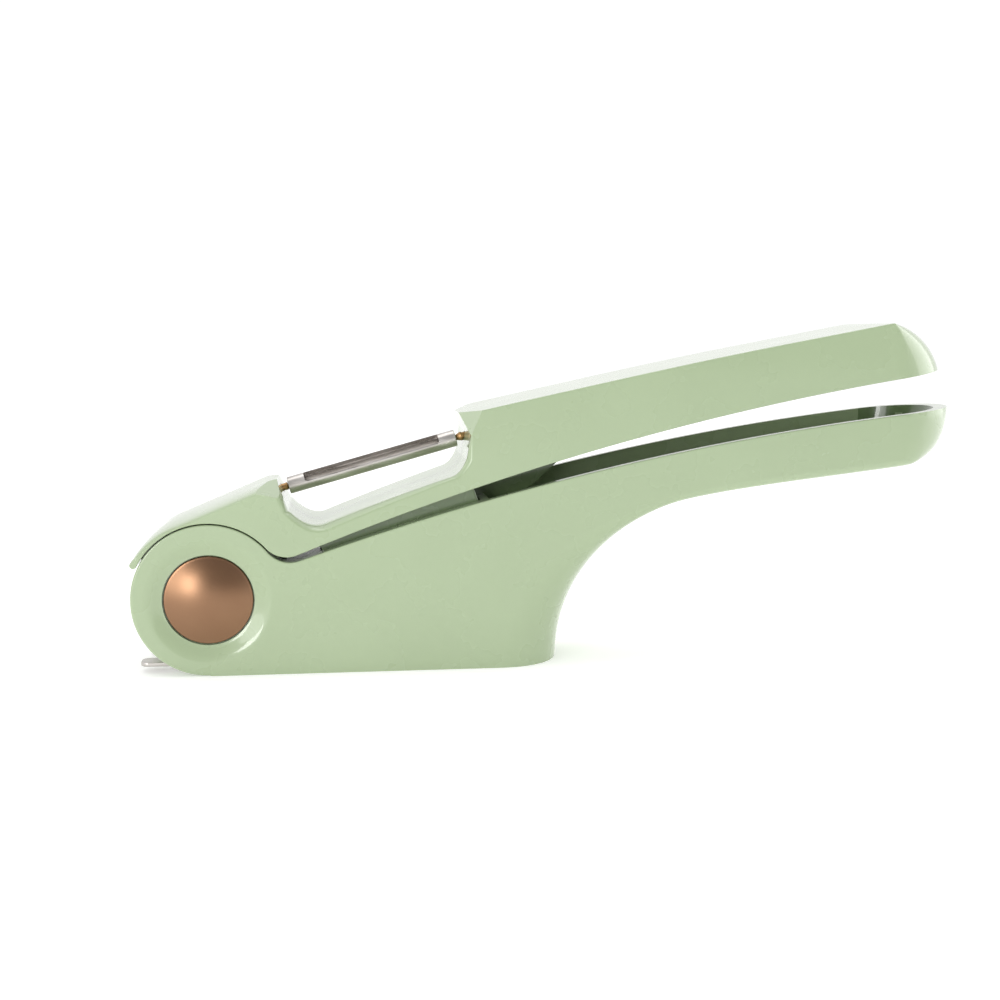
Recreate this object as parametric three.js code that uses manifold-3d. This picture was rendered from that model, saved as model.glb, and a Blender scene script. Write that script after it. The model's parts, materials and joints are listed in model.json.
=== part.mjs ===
// Garlic press with a swivelling peeler blade in its upper handle.
//
// Drawing frame, in millimetres: the hinge axis is the origin, x runs from the hinge to the
// handle tips, y is up and z is across, towards the near cheek. The outer group stands the
// drawing up (+Z up) and puts the origin under the middle of the object, on its base.
// The lever is drawn fully closed and its group opens it to the rest angle.

import * as THREE from 'three';
import { ConvexGeometry } from 'three/addons/geometries/ConvexGeometry.js';
import { mergeVertices } from 'three/addons/utils/BufferGeometryUtils.js';
import Module from 'manifold-3d';

const wasm = await Module();
wasm.setup();

// Overall sizes
const HALF_WIDTH = 17;
const CHEEK_RADIUS = 18.4;
const BASE_LENGTH = 86.4;
const TIP_X = 190.2;
const REST_OPEN_DEG = 2.8;

// Walls and clearances
const SHELL_WALL = 2.4;
const CHEEK_WALL = 4.4;
const FLOOR = 4.6;
const TOUCH_GAP = 0.3;
const SIDE_GAP = 0.4;
const CUT = 60;

// Parting line: round the cheek, through the knee, out along the rim
const KNEE_RADIUS = 7;
const RIM_START = new THREE.Vector2(21, 9);
const RIM_SLOPE_DEG = 19.1;
const RIM_RADIUS = 710;

// Neck and handle underside, as two Bezier curves that share a tangent. The grip's end and its
// tip corner are measured back from the tip and down from the rim.
const NECK_PULL = new THREE.Vector2(1, 20);
const BEND_PULL = new THREE.Vector2(-20, -4.2);
const BEND = new THREE.Vector2(118, 22.8);
const GRIP_PULL = new THREE.Vector2(16, 3.4);
const GRIP_END_PULL = new THREE.Vector2(-19, -2.8);
const GRIP_END_BACK = 11.2;
const GRIP_END_DEPTH = 13;
const TIP_CORNER_REACH = 0.3;
const TIP_CORNER_DEPTH = 12.1;
const NECK_CORNER = 15;
const GRIP_CORNER = 2.5;

// Garlic chamber and plunger, bounded by arcs about the hinge
const CHAMBER_FRONT = 29;
const CHAMBER_REAR = 70.1;
const CHAMBER_WALL = 2;
const PLUNGER_WALL = 2.2;
const PLUNGER_FACE = 3;
const PRESS_GAP = 0.5;
const GUSSET_HALF = 1.5;
const GUSSET_REACH = 17.8;
const GUSSET_DROP = 2.2;
const GUSSET_RISE = 0.81;
const GUSSET_SLOT_DROP = 2.2;
const GUSSET_SLOT_REACH = [12, 6];

// Sieve
const LEDGE = 1.3;
const SIEVE_THICKNESS = 1;
const SIEVE_FRONT = CHAMBER_FRONT - 7;
const SIEVE_REAR = CHAMBER_REAR + 5.9;
const SIEVE_TAB_X = -17;
const SIEVE_TAB_WIDTH = 5.8;
const SIEVE_CORNER = 2;
const SIEVE_HOLE = 1.1;
const SIEVE_PITCH = 3.5;
const LEDGE_FRONT = -9.8;
const OUTLET_FRONT = CHAMBER_FRONT + 2;
const OUTLET_REAR = CHAMBER_REAR - 3.1;
const OUTLET_SIDE_LEDGE = 2.6;
const HOLE_MARGIN = 0.5;

// Hinge hardware
const BARREL_RADIUS = 13.5;
const PIN_RADIUS = 3;
const PIN_BORE = 1.9;
const SCREW_RADIUS = 1.6;
const SCREW_LENGTH = 9;
const HEAD_RADIUS = 5.5;
const HEAD_HEIGHT = 1.2;
const BUSH_RADIUS = 5;
const BUSH_LENGTH = 6;
const HEAD_CLEARANCE = 0.1;
const DRIVER_SLOT_DEPTH = 0.3;
const DRIVER_SLOT_HALF = 0.5;
const WASHER_RADIUS = 8;
const WASHER_THICKNESS = 0.7;
const WASHER_ROOM = 1;
const CAP_RADIUS = 10.7;
const CAP_RECESS = 2.4;
const CAP_WALL = 0.8;
const CAP_RISE = 1.8;
const DISH_RADIUS = 15;
const DISH_DEPTH = 1.1;

// Lever
const HOOD_THICKNESS = 1.7;
const HOOD_END_DEG = 150;
const HOOD_LINE_END = new THREE.Vector2(15.2, 26.9);
const HORN_CORNER = new THREE.Vector2(17.8, 27.3);
const HORN_FACET = 6;
const FRONT_FACET = new THREE.Vector2(11, 25.6);
const FRONT_FACET_FOOT = new THREE.Vector2(19, 23.6);
const ARM_THICKNESS = 4.6;
const LEFT_WALL_FOOT = new THREE.Vector2(20.3, 20.6);
const NOTCH_FLOOR_START = 29;
const NOTCH_FLOOR_END = 60;
const RIGHT_WALL = [
  new THREE.Vector2(64.2, 30.5),
  new THREE.Vector2(65.4, 36),
  new THREE.Vector2(63.6, 41.2),
];
const RIGHT_FACET = new THREE.Vector2(68.8, 42.8);
const LEVER_TIP_X = TIP_X - 0.4;
const LEVER_CHANNEL_X = 80;
// The handle's top and the pulls of its tip curve: place along x and height above the rim
const GRIP_TOP = [[80, 17.4], [126, 14.9], [LEVER_TIP_X - 18.8, 14.5]];
const LEVER_TIP_PULLS = [[LEVER_TIP_X - 9.8, 14.9], [LEVER_TIP_X - 1.8, 8.1]];
const WEB_END_DEG = 27;

// Peeler blade: a slotted tube between the two horns, in its own frame along its axis
const BLADE_ENDS = [new THREE.Vector2(20.4, 24.9), new THREE.Vector2(63, 34.5)];
const BLADE_RADIUS = 2.15;
const BLADE_BORE = 1.25;
const BLADE_SLOT_LENGTH = 35;
const BLADE_SLOT_HALF = 1.5;
const BLADE_REST_DEG = 48;
const PIN_SHAFT = 0.9;
const PIN_REACH = 3;
const SOCKET_DEPTH = 4.5;
const FRONT_GAP = 0.9;
const REAR_GAP = 2;

const BASE_Y = -CHEEK_RADIUS;
const CHEEK_INNER = HALF_WIDTH - CHEEK_WALL;
const OUTLET_HALF = CHEEK_INNER - OUTLET_SIDE_LEDGE;
const BARREL_HALF = CHEEK_INNER - WASHER_THICKNESS - 2 * TOUCH_GAP;
const SIEVE_BOTTOM = BASE_Y + LEDGE + TOUCH_GAP;
const SIEVE_TOP = SIEVE_BOTTOM + SIEVE_THICKNESS;
const SLOT_TOP = SIEVE_TOP + TOUCH_GAP;
const SEAM_RADIUS = CHEEK_RADIUS + TOUCH_GAP;
const PLUNGER_FRONT = CHAMBER_FRONT + SIDE_GAP;
const PLUNGER_REAR = CHAMBER_REAR - SIDE_GAP;
const PLUNGER_HALF = CHEEK_INNER - SIDE_GAP;

const rad = THREE.MathUtils.degToRad;
const polar = (radius, angle) => new THREE.Vector2(radius * Math.cos(angle), radius * Math.sin(angle));

// ---------------------------------------------------------------- solids

function toSolid(geometry) {
  const bare = geometry.index ? geometry.clone() : geometry;
  bare.deleteAttribute('normal');
  bare.deleteAttribute('uv');
  const merged = mergeVertices(bare, 1e-4);
  const corners = merged.index.array;
  const kept = [];
  for (let i = 0; i < corners.length; i += 3) {
    const [a, b, c] = [corners[i], corners[i + 1], corners[i + 2]];
    if (a !== b && b !== c && c !== a) {
      kept.push(a, b, c);
    }
  }
  const mesh = new wasm.Mesh({
    numProp: 3,
    vertProperties: new Float32Array(merged.attributes.position.array),
    triVerts: new Uint32Array(kept),
  });
  return new wasm.Manifold(mesh);
}

function toGeometry(solid) {
  const mesh = solid.getMesh();
  const geometry = new THREE.BufferGeometry();
  geometry.setAttribute('position', new THREE.BufferAttribute(mesh.vertProperties, 3));
  geometry.setIndex(new THREE.BufferAttribute(mesh.triVerts, 1));
  geometry.computeVertexNormals();
  return geometry;
}

// A shape without the doubled points that joined curves leave.
function cleanShape(shape, divisions) {
  const points = shape.getPoints(divisions);
  const kept = points.filter((p, i) => p.distanceTo(points[(i + 1) % points.length]) > 1e-3);
  return new THREE.Shape(kept);
}

// An outline in x and y, as thick as it says on each side of the middle plane.
function slab(shape, half, divisions = 10) {
  const geometry = new THREE.ExtrudeGeometry(cleanShape(shape, divisions), {
    depth: 2 * half,
    bevelEnabled: false,
  });
  return toSolid(geometry.translate(0, 0, -half));
}

// An outline in x and z, standing between two heights.
function column(shape, low, high, divisions = 10) {
  const geometry = new THREE.ExtrudeGeometry(cleanShape(shape, divisions), {
    depth: high - low,
    bevelEnabled: false,
  });
  return toSolid(geometry.rotateX(-Math.PI / 2).translate(0, low, 0));
}

function block(x0, x1, y0, y1, half, z = 0) {
  const geometry = new THREE.BoxGeometry(x1 - x0, y1 - y0, 2 * half);
  return toSolid(geometry.translate((x0 + x1) / 2, (y0 + y1) / 2, z));
}

// A profile closed on itself, turned about y. It runs the way round that faces it outwards.
function lathe(profile, segments) {
  const points = profile.map(([radius, along]) => new THREE.Vector2(radius, along));
  if (THREE.ShapeUtils.isClockWise(points)) {
    points.reverse();
  }
  return new THREE.LatheGeometry([...points, points[0]], segments);
}

// A body turned about the hinge axis, from [radius, z] points.
function turned(profile, segments = 48) {
  return toSolid(lathe(profile, segments).rotateX(Math.PI / 2));
}

function roller(radius, z0, z1, segments = 48) {
  return turned([[0, z0], [radius, z0], [radius, z1], [0, z1]], segments);
}

// A body with a section at each station, closed by a flat face at each end.
function loft(rings) {
  const count = rings[0].length;
  const last = (rings.length - 1) * count;
  const index = [];
  for (let start = 0; start < last; start += count) {
    for (let j = 0; j < count; j += 1) {
      const a = start + j;
      const b = start + ((j + 1) % count);
      index.push(a, b + count, b, a, a + count, b + count);
    }
  }
  for (let j = 1; j + 1 < count; j += 1) {
    index.push(0, j, j + 1, last, last + j + 1, last + j);
  }
  const geometry = new THREE.BufferGeometry();
  const numbers = rings.flat().flatMap((p) => p.toArray());
  geometry.setAttribute('position', new THREE.Float32BufferAttribute(numbers, 3));
  geometry.setIndex(index);
  return toSolid(geometry);
}

// ---------------------------------------------------------------- shared curves

const rimAngle = rad(90 + RIM_SLOPE_DEG);
const rimCentre = RIM_START.clone().sub(polar(RIM_RADIUS, rimAngle));

// The knee's circle lies outside both the cheek's circle and the rim's.
function findKnee() {
  const fromHinge = CHEEK_RADIUS + KNEE_RADIUS;
  const fromRim = RIM_RADIUS + KNEE_RADIUS;
  const apart = rimCentre.length();
  const along = (fromHinge ** 2 - fromRim ** 2 + apart ** 2) / (2 * apart);
  const across = Math.sqrt(fromHinge ** 2 - along ** 2);
  const way = rimCentre.clone().divideScalar(apart);
  const side = new THREE.Vector2(-way.y, way.x);
  return way.multiplyScalar(along).add(side.multiplyScalar(across));
}

const knee = findKnee();
const kneeAtCheek = knee.angle();
const kneeToRim = rimCentre.clone().sub(knee).angle();
const rimAtKnee = kneeToRim - Math.PI;

// Height of the parting line, offset upwards by a gap, at a place along the rim.
function rimHeight(x, gap = 0) {
  return rimCentre.y + Math.sqrt((RIM_RADIUS + gap) ** 2 - (x - rimCentre.x) ** 2);
}

function rimAngleAt(x, gap = 0) {
  return Math.acos((x - rimCentre.x) / (RIM_RADIUS + gap));
}

// From the cheek out to the rim's far end, for the lever's lower edge.
function followSeamOut(shape, gap, farX) {
  shape.absarc(0, 0, CHEEK_RADIUS + gap, rad(HOOD_END_DEG), kneeAtCheek, true);
  shape.absarc(knee.x, knee.y, KNEE_RADIUS - gap, kneeAtCheek + Math.PI, kneeToRim, false);
  shape.absarc(rimCentre.x, rimCentre.y, RIM_RADIUS + gap, rimAtKnee, rimAngleAt(farX, gap), true);
}

// From the rim's far end back to the cheek and round it to the base.
function followSeamIn(shape, farX) {
  shape.absarc(rimCentre.x, rimCentre.y, RIM_RADIUS, rimAngleAt(farX), rimAtKnee, false);
  shape.absarc(knee.x, knee.y, KNEE_RADIUS, kneeToRim, kneeAtCheek + Math.PI, true);
  shape.absarc(0, 0, CHEEK_RADIUS, kneeAtCheek, 1.5 * Math.PI, false);
}

// A point above (or below) the parting line, where the closed handles meet.
const fromRim = ([x, rise]) => new THREE.Vector2(x, rimHeight(x) + rise);

const neckFoot = new THREE.Vector2(BASE_LENGTH, BASE_Y);
const gripEnd = fromRim([TIP_X - GRIP_END_BACK, -GRIP_END_DEPTH]);
const tipCorner = fromRim([TIP_X + TIP_CORNER_REACH, -TIP_CORNER_DEPTH]);
const pulled = (point, pull) => point.clone().add(pull);
const underside = [
  new THREE.CubicBezierCurve(neckFoot, pulled(neckFoot, NECK_PULL), pulled(BEND, BEND_PULL), BEND),
  new THREE.CubicBezierCurve(BEND, pulled(BEND, GRIP_PULL), pulled(gripEnd, GRIP_END_PULL), gripEnd),
];
const gripTop = GRIP_TOP.map(fromRim);
const leverTipPulls = LEVER_TIP_PULLS.map(fromRim);

function bodyOutline() {
  const shape = new THREE.Shape();
  shape.moveTo(0, BASE_Y);
  shape.lineTo(neckFoot.x, neckFoot.y);
  for (const curve of underside) {
    shape.bezierCurveTo(curve.v1.x, curve.v1.y, curve.v2.x, curve.v2.y, curve.v3.x, curve.v3.y);
  }
  shape.quadraticCurveTo(tipCorner.x, tipCorner.y, TIP_X, rimHeight(TIP_X));
  followSeamIn(shape, TIP_X);
  return shape;
}

// Seen from above: straight sides and a full round at the handle's tip.
function plan(tipX, half) {
  const shape = new THREE.Shape();
  shape.moveTo(-CUT, -half);
  shape.lineTo(tipX - half, -half);
  shape.absarc(tipX - half, 0, half, -Math.PI / 2, Math.PI / 2, false);
  shape.lineTo(-CUT, half);
  return shape;
}

// One section across the neck or handle: square at the top, with rounded lower corners.
function gripRing(foot, inward, half, corner, depth) {
  const ring = [];
  const steps = 6;
  for (const side of [-1, 1]) {
    for (let k = 0; k <= steps; k += 1) {
      const turn = (Math.PI / 2) * (side < 0 ? 1 - k / steps : k / steps);
      ring.push([corner * (1 - Math.cos(turn)), side * (half - corner + corner * Math.sin(turn))]);
    }
  }
  ring.push([depth, half], [depth, -half]);
  return ring.map(([rise, z]) => new THREE.Vector3(foot.x + inward.x * rise, foot.y + inward.y * rise, z));
}

// The neck and handle as one run of sections, set in from the outer skin by a wall.
function grip(inset) {
  const rings = [];
  const steps = 12;
  const neckDepth = 42;
  const gripDepth = 22;
  const addRing = (curve, t, along, reach = 0) => {
    const tangent = curve.getTangent(t);
    const inward = new THREE.Vector2(-tangent.y, tangent.x);
    const foot = curve.getPoint(t).addScaledVector(inward, inset).addScaledVector(tangent, reach);
    const share = THREE.MathUtils.smoothstep(along, 0.1, 0.9);
    const corner = THREE.MathUtils.lerp(NECK_CORNER, GRIP_CORNER, share);
    const depth = THREE.MathUtils.lerp(neckDepth, gripDepth, along);
    rings.push(gripRing(foot, inward, HALF_WIDTH - inset, Math.max(corner - inset, 0.6), depth));
  };
  addRing(underside[0], 0, 0, -1);
  for (let k = 1; k <= steps; k += 1) {
    addRing(underside[0], k / steps, k / steps);
  }
  for (let k = 1; k <= steps / 2; k += 1) {
    addRing(underside[1], (2 * k) / steps, 1);
  }
  addRing(underside[1], 1, 1, GRIP_END_BACK + 2);
  return loft(rings);
}

// ---------------------------------------------------------------- lower body

function chamberSpace() {
  const ring = roller(CHAMBER_REAR, -CHEEK_INNER, CHEEK_INNER, 96)
    .subtract(roller(CHAMBER_FRONT, -CHEEK_INNER, CHEEK_INNER, 64));
  return ring.intersect(block(0, CUT * 2, SLOT_TOP - TOUCH_GAP, CUT, CHEEK_INNER));
}

function channelSpace() {
  const shape = new THREE.Shape();
  shape.moveTo(CUT, BASE_Y + FLOOR);
  shape.lineTo(gripEnd.x, BASE_Y + FLOOR);
  shape.lineTo(gripEnd.x, gripEnd.y + SHELL_WALL);
  shape.quadraticCurveTo(TIP_X - SHELL_WALL, tipCorner.y + SHELL_WALL, TIP_X - SHELL_WALL, CUT);
  shape.lineTo(CUT, CUT);
  return grip(SHELL_WALL)
    .intersect(slab(shape, HALF_WIDTH))
    .intersect(column(plan(TIP_X - SHELL_WALL, HALF_WIDTH - SHELL_WALL), BASE_Y, CUT))
    .subtract(roller(CHAMBER_REAR + CHAMBER_WALL, -HALF_WIDTH, HALF_WIDTH, 96));
}

// Between the cheeks: room for the barrel, and for the web and hood as the lever swings.
function hubSpace() {
  const swing = new THREE.Shape();
  const reach = SEAM_RADIUS + HOOD_THICKNESS + SIDE_GAP;
  swing.absarc(0, 0, reach, rad(WEB_END_DEG - 6), Math.PI, false);
  swing.lineTo(-reach, BASE_Y + LEDGE);
  swing.lineTo(0, BASE_Y + LEDGE);
  swing.lineTo(0, 0);
  return slab(swing, CHEEK_INNER).add(roller(BARREL_RADIUS + SIDE_GAP, -CHEEK_INNER, CHEEK_INNER, 64));
}

function sieveSpace() {
  const slot = block(-CUT, SIEVE_REAR + TOUCH_GAP, BASE_Y + LEDGE, SLOT_TOP, CHEEK_INNER);
  const outlet = block(OUTLET_FRONT, OUTLET_REAR, BASE_Y - 1, SLOT_TOP, OUTLET_HALF);
  const front = block(-CUT, LEDGE_FRONT, BASE_Y - 1, SLOT_TOP, CHEEK_INNER);
  return slot.add(outlet).add(front);
}

// A stepped seat for the cap, with a shallow dish round it, and a bore for the pin.
function capSeat(side) {
  const seat = HALF_WIDTH - CAP_RECESS;
  const rim = CAP_RADIUS + TOUCH_GAP;
  const profile = [
    [0, 0],
    [PIN_RADIUS + TOUCH_GAP, 0],
    [PIN_RADIUS + TOUCH_GAP, seat],
    [rim, seat],
    [rim, HALF_WIDTH - DISH_DEPTH],
    [(rim + DISH_RADIUS) / 2, HALF_WIDTH - 0.35 * DISH_DEPTH],
    [DISH_RADIUS, HALF_WIDTH],
    [DISH_RADIUS, HALF_WIDTH + 1],
    [0, HALF_WIDTH + 1],
  ];
  return turned(profile.map(([radius, z]) => [radius, side * z]), 64);
}

// The plunger's fin: its underside is a straight slope that meets the rim past the chamber.
const gussetTop = fromRim([CHAMBER_REAR + GUSSET_REACH, -GUSSET_DROP]);
const gussetHeight = (x) => gussetTop.y + (x - gussetTop.x) * GUSSET_RISE;

function gussetSlot() {
  const floor = gussetHeight(CHAMBER_REAR) - GUSSET_SLOT_DROP;
  const [front, rear] = [CHAMBER_REAR - GUSSET_SLOT_REACH[0], CHAMBER_REAR + GUSSET_SLOT_REACH[1]];
  return block(front, rear, floor, CUT, GUSSET_HALF + SIDE_GAP);
}

function lowerBody() {
  const outer = slab(bodyOutline(), HALF_WIDTH, 12)
    .intersect(block(-CUT, BASE_LENGTH - NECK_CORNER, -CUT, CUT, HALF_WIDTH).add(grip(0)))
    .intersect(column(plan(TIP_X, HALF_WIDTH), -CUT, CUT));
  return outer
    .subtract(chamberSpace())
    .subtract(channelSpace())
    .subtract(hubSpace())
    .subtract(sieveSpace())
    .subtract(gussetSlot())
    .subtract(capSeat(1))
    .subtract(capSeat(-1));
}

// ---------------------------------------------------------------- sieve

function sieveOutline() {
  const half = CHEEK_INNER - SIDE_GAP;
  const inner = half - SIEVE_TAB_WIDTH;
  const shape = new THREE.Shape();
  const [front, rear] = [SIEVE_TAB_X + SIEVE_CORNER, SIEVE_REAR - SIEVE_CORNER];
  const corner = (x, z, start) => shape.absarc(x, z, SIEVE_CORNER, start, start + Math.PI / 2, false);
  shape.moveTo(rear, -half);
  corner(rear, SIEVE_CORNER - half, -Math.PI / 2);
  corner(rear, half - SIEVE_CORNER, 0);
  corner(front, half - SIEVE_CORNER, Math.PI / 2);
  corner(front, inner + SIEVE_CORNER, Math.PI);
  shape.lineTo(SIEVE_FRONT, inner);
  shape.lineTo(SIEVE_FRONT, -inner);
  corner(front, -inner - SIEVE_CORNER, Math.PI / 2);
  corner(front, SIEVE_CORNER - half, Math.PI);
  return shape;
}

// Rows of holes over the outlet, every other row shifted by half a pitch.
function sieveHoles() {
  const holes = [];
  const rowPitch = SIEVE_PITCH * Math.sin(Math.PI / 3);
  const reachX = OUTLET_REAR - OUTLET_FRONT - 2 * (SIEVE_HOLE + HOLE_MARGIN);
  const reachZ = 2 * (OUTLET_HALF - SIEVE_HOLE - HOLE_MARGIN);
  const rows = Math.floor(reachX / rowPitch) + 1;
  for (let row = 0; row < rows; row += 1) {
    const x = (OUTLET_FRONT + OUTLET_REAR) / 2 + (row - (rows - 1) / 2) * rowPitch;
    const full = Math.floor(reachZ / SIEVE_PITCH) + 1;
    const count = full - (row % 2);
    for (let k = 0; k < count; k += 1) {
      holes.push([x, (k - (count - 1) / 2) * SIEVE_PITCH]);
    }
  }
  return holes;
}

function sievePlate() {
  const shape = cleanShape(sieveOutline(), 3);
  for (const [x, z] of sieveHoles()) {
    const hole = new THREE.Path();
    hole.absarc(x, z, SIEVE_HOLE, 0, 2 * Math.PI, true);
    shape.holes.push(new THREE.Path(hole.getPoints(4).slice(0, -1)));
  }
  const geometry = new THREE.ExtrudeGeometry(shape, { depth: SIEVE_THICKNESS, bevelEnabled: false });
  return toSolid(geometry.rotateX(-Math.PI / 2).translate(0, SIEVE_BOTTOM, 0));
}

// ---------------------------------------------------------------- lever

const bladeAxis = BLADE_ENDS[1].clone().sub(BLADE_ENDS[0]);
const bladeMiddle = BLADE_ENDS[0].clone().add(BLADE_ENDS[1]).multiplyScalar(0.5);
const bladeHalf = bladeAxis.length() / 2;
const bladeTilt = bladeAxis.angle();

function leverOutline() {
  const hoodRadius = SEAM_RADIUS + HOOD_THICKNESS;
  const hoodEnd = rad(HOOD_END_DEG);
  const slope = HOOD_LINE_END.angle() + Math.acos(hoodRadius / HOOD_LINE_END.length());
  const hoodLip = polar(SEAM_RADIUS + HOOD_THICKNESS / 2, hoodEnd);
  const floorY = (x) => rimHeight(x, TOUCH_GAP) + ARM_THICKNESS;
  const shape = new THREE.Shape();
  followSeamOut(shape, TOUCH_GAP, LEVER_TIP_X);
  const [pullHigh, pullLow] = leverTipPulls;
  const top = gripTop.at(-1);
  shape.bezierCurveTo(pullLow.x, pullLow.y, pullHigh.x, pullHigh.y, top.x, top.y);
  shape.splineThru([gripTop[1], gripTop[0], RIGHT_WALL[2]]);
  shape.lineTo(RIGHT_WALL[1].x, RIGHT_WALL[1].y);
  shape.lineTo(RIGHT_WALL[0].x, RIGHT_WALL[0].y);
  const [near, far] = [NOTCH_FLOOR_START, NOTCH_FLOOR_END];
  shape.quadraticCurveTo(far + 2.6, floorY(far + 2), far, floorY(far));
  shape.lineTo(near, floorY(near));
  shape.quadraticCurveTo(near - 4, floorY(near - 4), LEFT_WALL_FOOT.x, LEFT_WALL_FOOT.y);
  shape.lineTo(HORN_CORNER.x, HORN_CORNER.y);
  shape.lineTo(HOOD_LINE_END.x, HOOD_LINE_END.y);
  shape.absarc(0, 0, hoodRadius, slope, hoodEnd, false);
  shape.absarc(hoodLip.x, hoodLip.y, HOOD_THICKNESS / 2, hoodEnd, hoodEnd + Math.PI, false);
  return shape;
}

// The web that joins the barrel to the hood between the cheeks.
function webOutline() {
  const shape = new THREE.Shape();
  const inner = BARREL_RADIUS / 2;
  const outer = SEAM_RADIUS + HOOD_THICKNESS / 2;
  shape.absarc(0, 0, outer, rad(WEB_END_DEG), rad(HOOD_END_DEG - 4), false);
  shape.absarc(0, 0, inner, rad(HOOD_END_DEG - 4), rad(WEB_END_DEG), true);
  return shape;
}

function leverChannel() {
  const shape = new THREE.Shape();
  const drop = SHELL_WALL + 0.3;
  const tip = LEVER_TIP_X - SHELL_WALL;
  const [pullHigh, pullLow] = leverTipPulls;
  const top = gripTop.at(-1);
  shape.moveTo(LEVER_CHANNEL_X, 0);
  shape.lineTo(tip, 0);
  shape.lineTo(tip, rimHeight(tip));
  const [low, high] = [pullLow, pullHigh].map((pull) => pull.clone().subScalar(drop));
  shape.bezierCurveTo(low.x, low.y, high.x, high.y, top.x, top.y - drop);
  shape.lineTo(gripTop[1].x, gripTop[1].y - drop);
  shape.lineTo(LEVER_CHANNEL_X, gripTop[0].y - drop - 0.8);
  return slab(shape, HALF_WIDTH)
    .intersect(column(plan(tip, HALF_WIDTH - SHELL_WALL), -CUT, CUT * 2));
}

// The corner that a plane through these three points cuts off, on the near and far side. The
// first point lies on the outer face, the second inboard and the third on the outer face.
function cornerCut(along, inboard, inboardHalf, down) {
  const lift = new THREE.Vector2(-4, 6).multiply(new THREE.Vector2(Math.sign(along.x - inboard.x), 1));
  const sides = [1, -1].map((side) => toSolid(new ConvexGeometry([
    new THREE.Vector3(along.x, along.y, side * HALF_WIDTH),
    new THREE.Vector3(inboard.x, inboard.y, side * inboardHalf),
    new THREE.Vector3(down.x, down.y, side * HALF_WIDTH),
    new THREE.Vector3(inboard.x + lift.x, inboard.y + lift.y, side * (HALF_WIDTH + 6)),
  ])));
  return sides[0].add(sides[1]);
}

// A round socket for a blade pin, along the blade's axis.
function pinSocket(direction) {
  const mouth = 1.5;
  const length = mouth + SOCKET_DEPTH;
  const start = bladeHalf + (direction > 0 ? REAR_GAP : FRONT_GAP) - mouth;
  const geometry = new THREE.CylinderGeometry(PIN_SHAFT + TOUCH_GAP, PIN_SHAFT + TOUCH_GAP, length, 16);
  geometry.rotateZ(Math.PI / 2);
  geometry.translate(direction * (start + length / 2), 0, 0);
  geometry.rotateZ(bladeTilt);
  geometry.translate(bladeMiddle.x, bladeMiddle.y, 0);
  return toSolid(geometry);
}

function upperHandle() {
  const bushSeat = BUSH_RADIUS + TOUCH_GAP;
  return slab(leverOutline(), HALF_WIDTH, 12)
    .intersect(column(plan(LEVER_TIP_X, HALF_WIDTH), -CUT, CUT * 2))
    .subtract(leverChannel())
    .subtract(cornerCut(RIGHT_FACET, RIGHT_WALL[2], HORN_FACET, RIGHT_WALL[1]))
    .subtract(cornerCut(FRONT_FACET, HORN_CORNER, HORN_FACET, FRONT_FACET_FOOT))
    .add(slab(webOutline(), PLUNGER_HALF))
    .add(roller(BARREL_RADIUS, -BARREL_HALF, BARREL_HALF, 64))
    .subtract(roller(WASHER_RADIUS + WASHER_ROOM, BARREL_HALF, HALF_WIDTH))
    .subtract(roller(WASHER_RADIUS + WASHER_ROOM, -HALF_WIDTH, -BARREL_HALF))
    .subtract(roller(bushSeat, -HALF_WIDTH, HALF_WIDTH, 32))
    .subtract(pinSocket(1))
    .subtract(pinSocket(-1));
}

function plunger() {
  const face = SIEVE_TOP + PRESS_GAP;
  const below = slab(bodyOutline(), PLUNGER_HALF, 12).intersect(block(0, CUT * 2, face, CUT, PLUNGER_HALF));
  const ring = roller(PLUNGER_REAR, -PLUNGER_HALF, PLUNGER_HALF, 96)
    .subtract(roller(PLUNGER_FRONT, -PLUNGER_HALF, PLUNGER_HALF, 64));
  const inner = PLUNGER_HALF - PLUNGER_WALL;
  const hollow = roller(PLUNGER_REAR - PLUNGER_WALL, -inner, inner, 96)
    .subtract(roller(PLUNGER_FRONT + PLUNGER_WALL, -inner, inner, 64))
    .intersect(block(0, CUT * 2, face + PLUNGER_FACE, CUT, inner));
  const foot = PLUNGER_REAR - PLUNGER_WALL - 1;
  const past = gussetTop.x + 10;
  const gusset = new THREE.Shape();
  gusset.moveTo(foot, gussetHeight(foot));
  gusset.lineTo(past, gussetHeight(past));
  gusset.lineTo(foot, gussetHeight(past));
  const fin = slab(gusset, GUSSET_HALF).intersect(slab(bodyOutline(), GUSSET_HALF, 12));
  return below.intersect(ring).subtract(hollow).add(fin);
}

// ---------------------------------------------------------------- hinge hardware

// The pin's head sits in the far cheek and the screw's in the near one, under the caps.
const headSeat = HALF_WIDTH - CAP_RECESS + TOUCH_GAP;

function hingePin() {
  const end = HALF_WIDTH - CAP_RECESS - 1;
  return turned([
    [0, -headSeat - HEAD_HEIGHT],
    [HEAD_RADIUS, -headSeat - HEAD_HEIGHT],
    [HEAD_RADIUS, -headSeat],
    [PIN_RADIUS, -headSeat],
    [PIN_RADIUS, end],
    [PIN_BORE, end],
    [PIN_BORE, headSeat - SCREW_LENGTH - 1],
    [0, headSeat - SCREW_LENGTH - 1],
  ], 32);
}

function hingeScrew() {
  const post = turned([
    [0, headSeat - SCREW_LENGTH],
    [SCREW_RADIUS, headSeat - SCREW_LENGTH],
    [SCREW_RADIUS, headSeat],
    [HEAD_RADIUS, headSeat],
    [HEAD_RADIUS, headSeat + HEAD_HEIGHT],
    [0, headSeat + HEAD_HEIGHT],
  ], 32);
  const reach = HEAD_RADIUS + 1;
  const top = headSeat + HEAD_HEIGHT;
  return post.subtract(block(-reach, reach, -DRIVER_SLOT_HALF, DRIVER_SLOT_HALF, DRIVER_SLOT_DEPTH, top));
}

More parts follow.
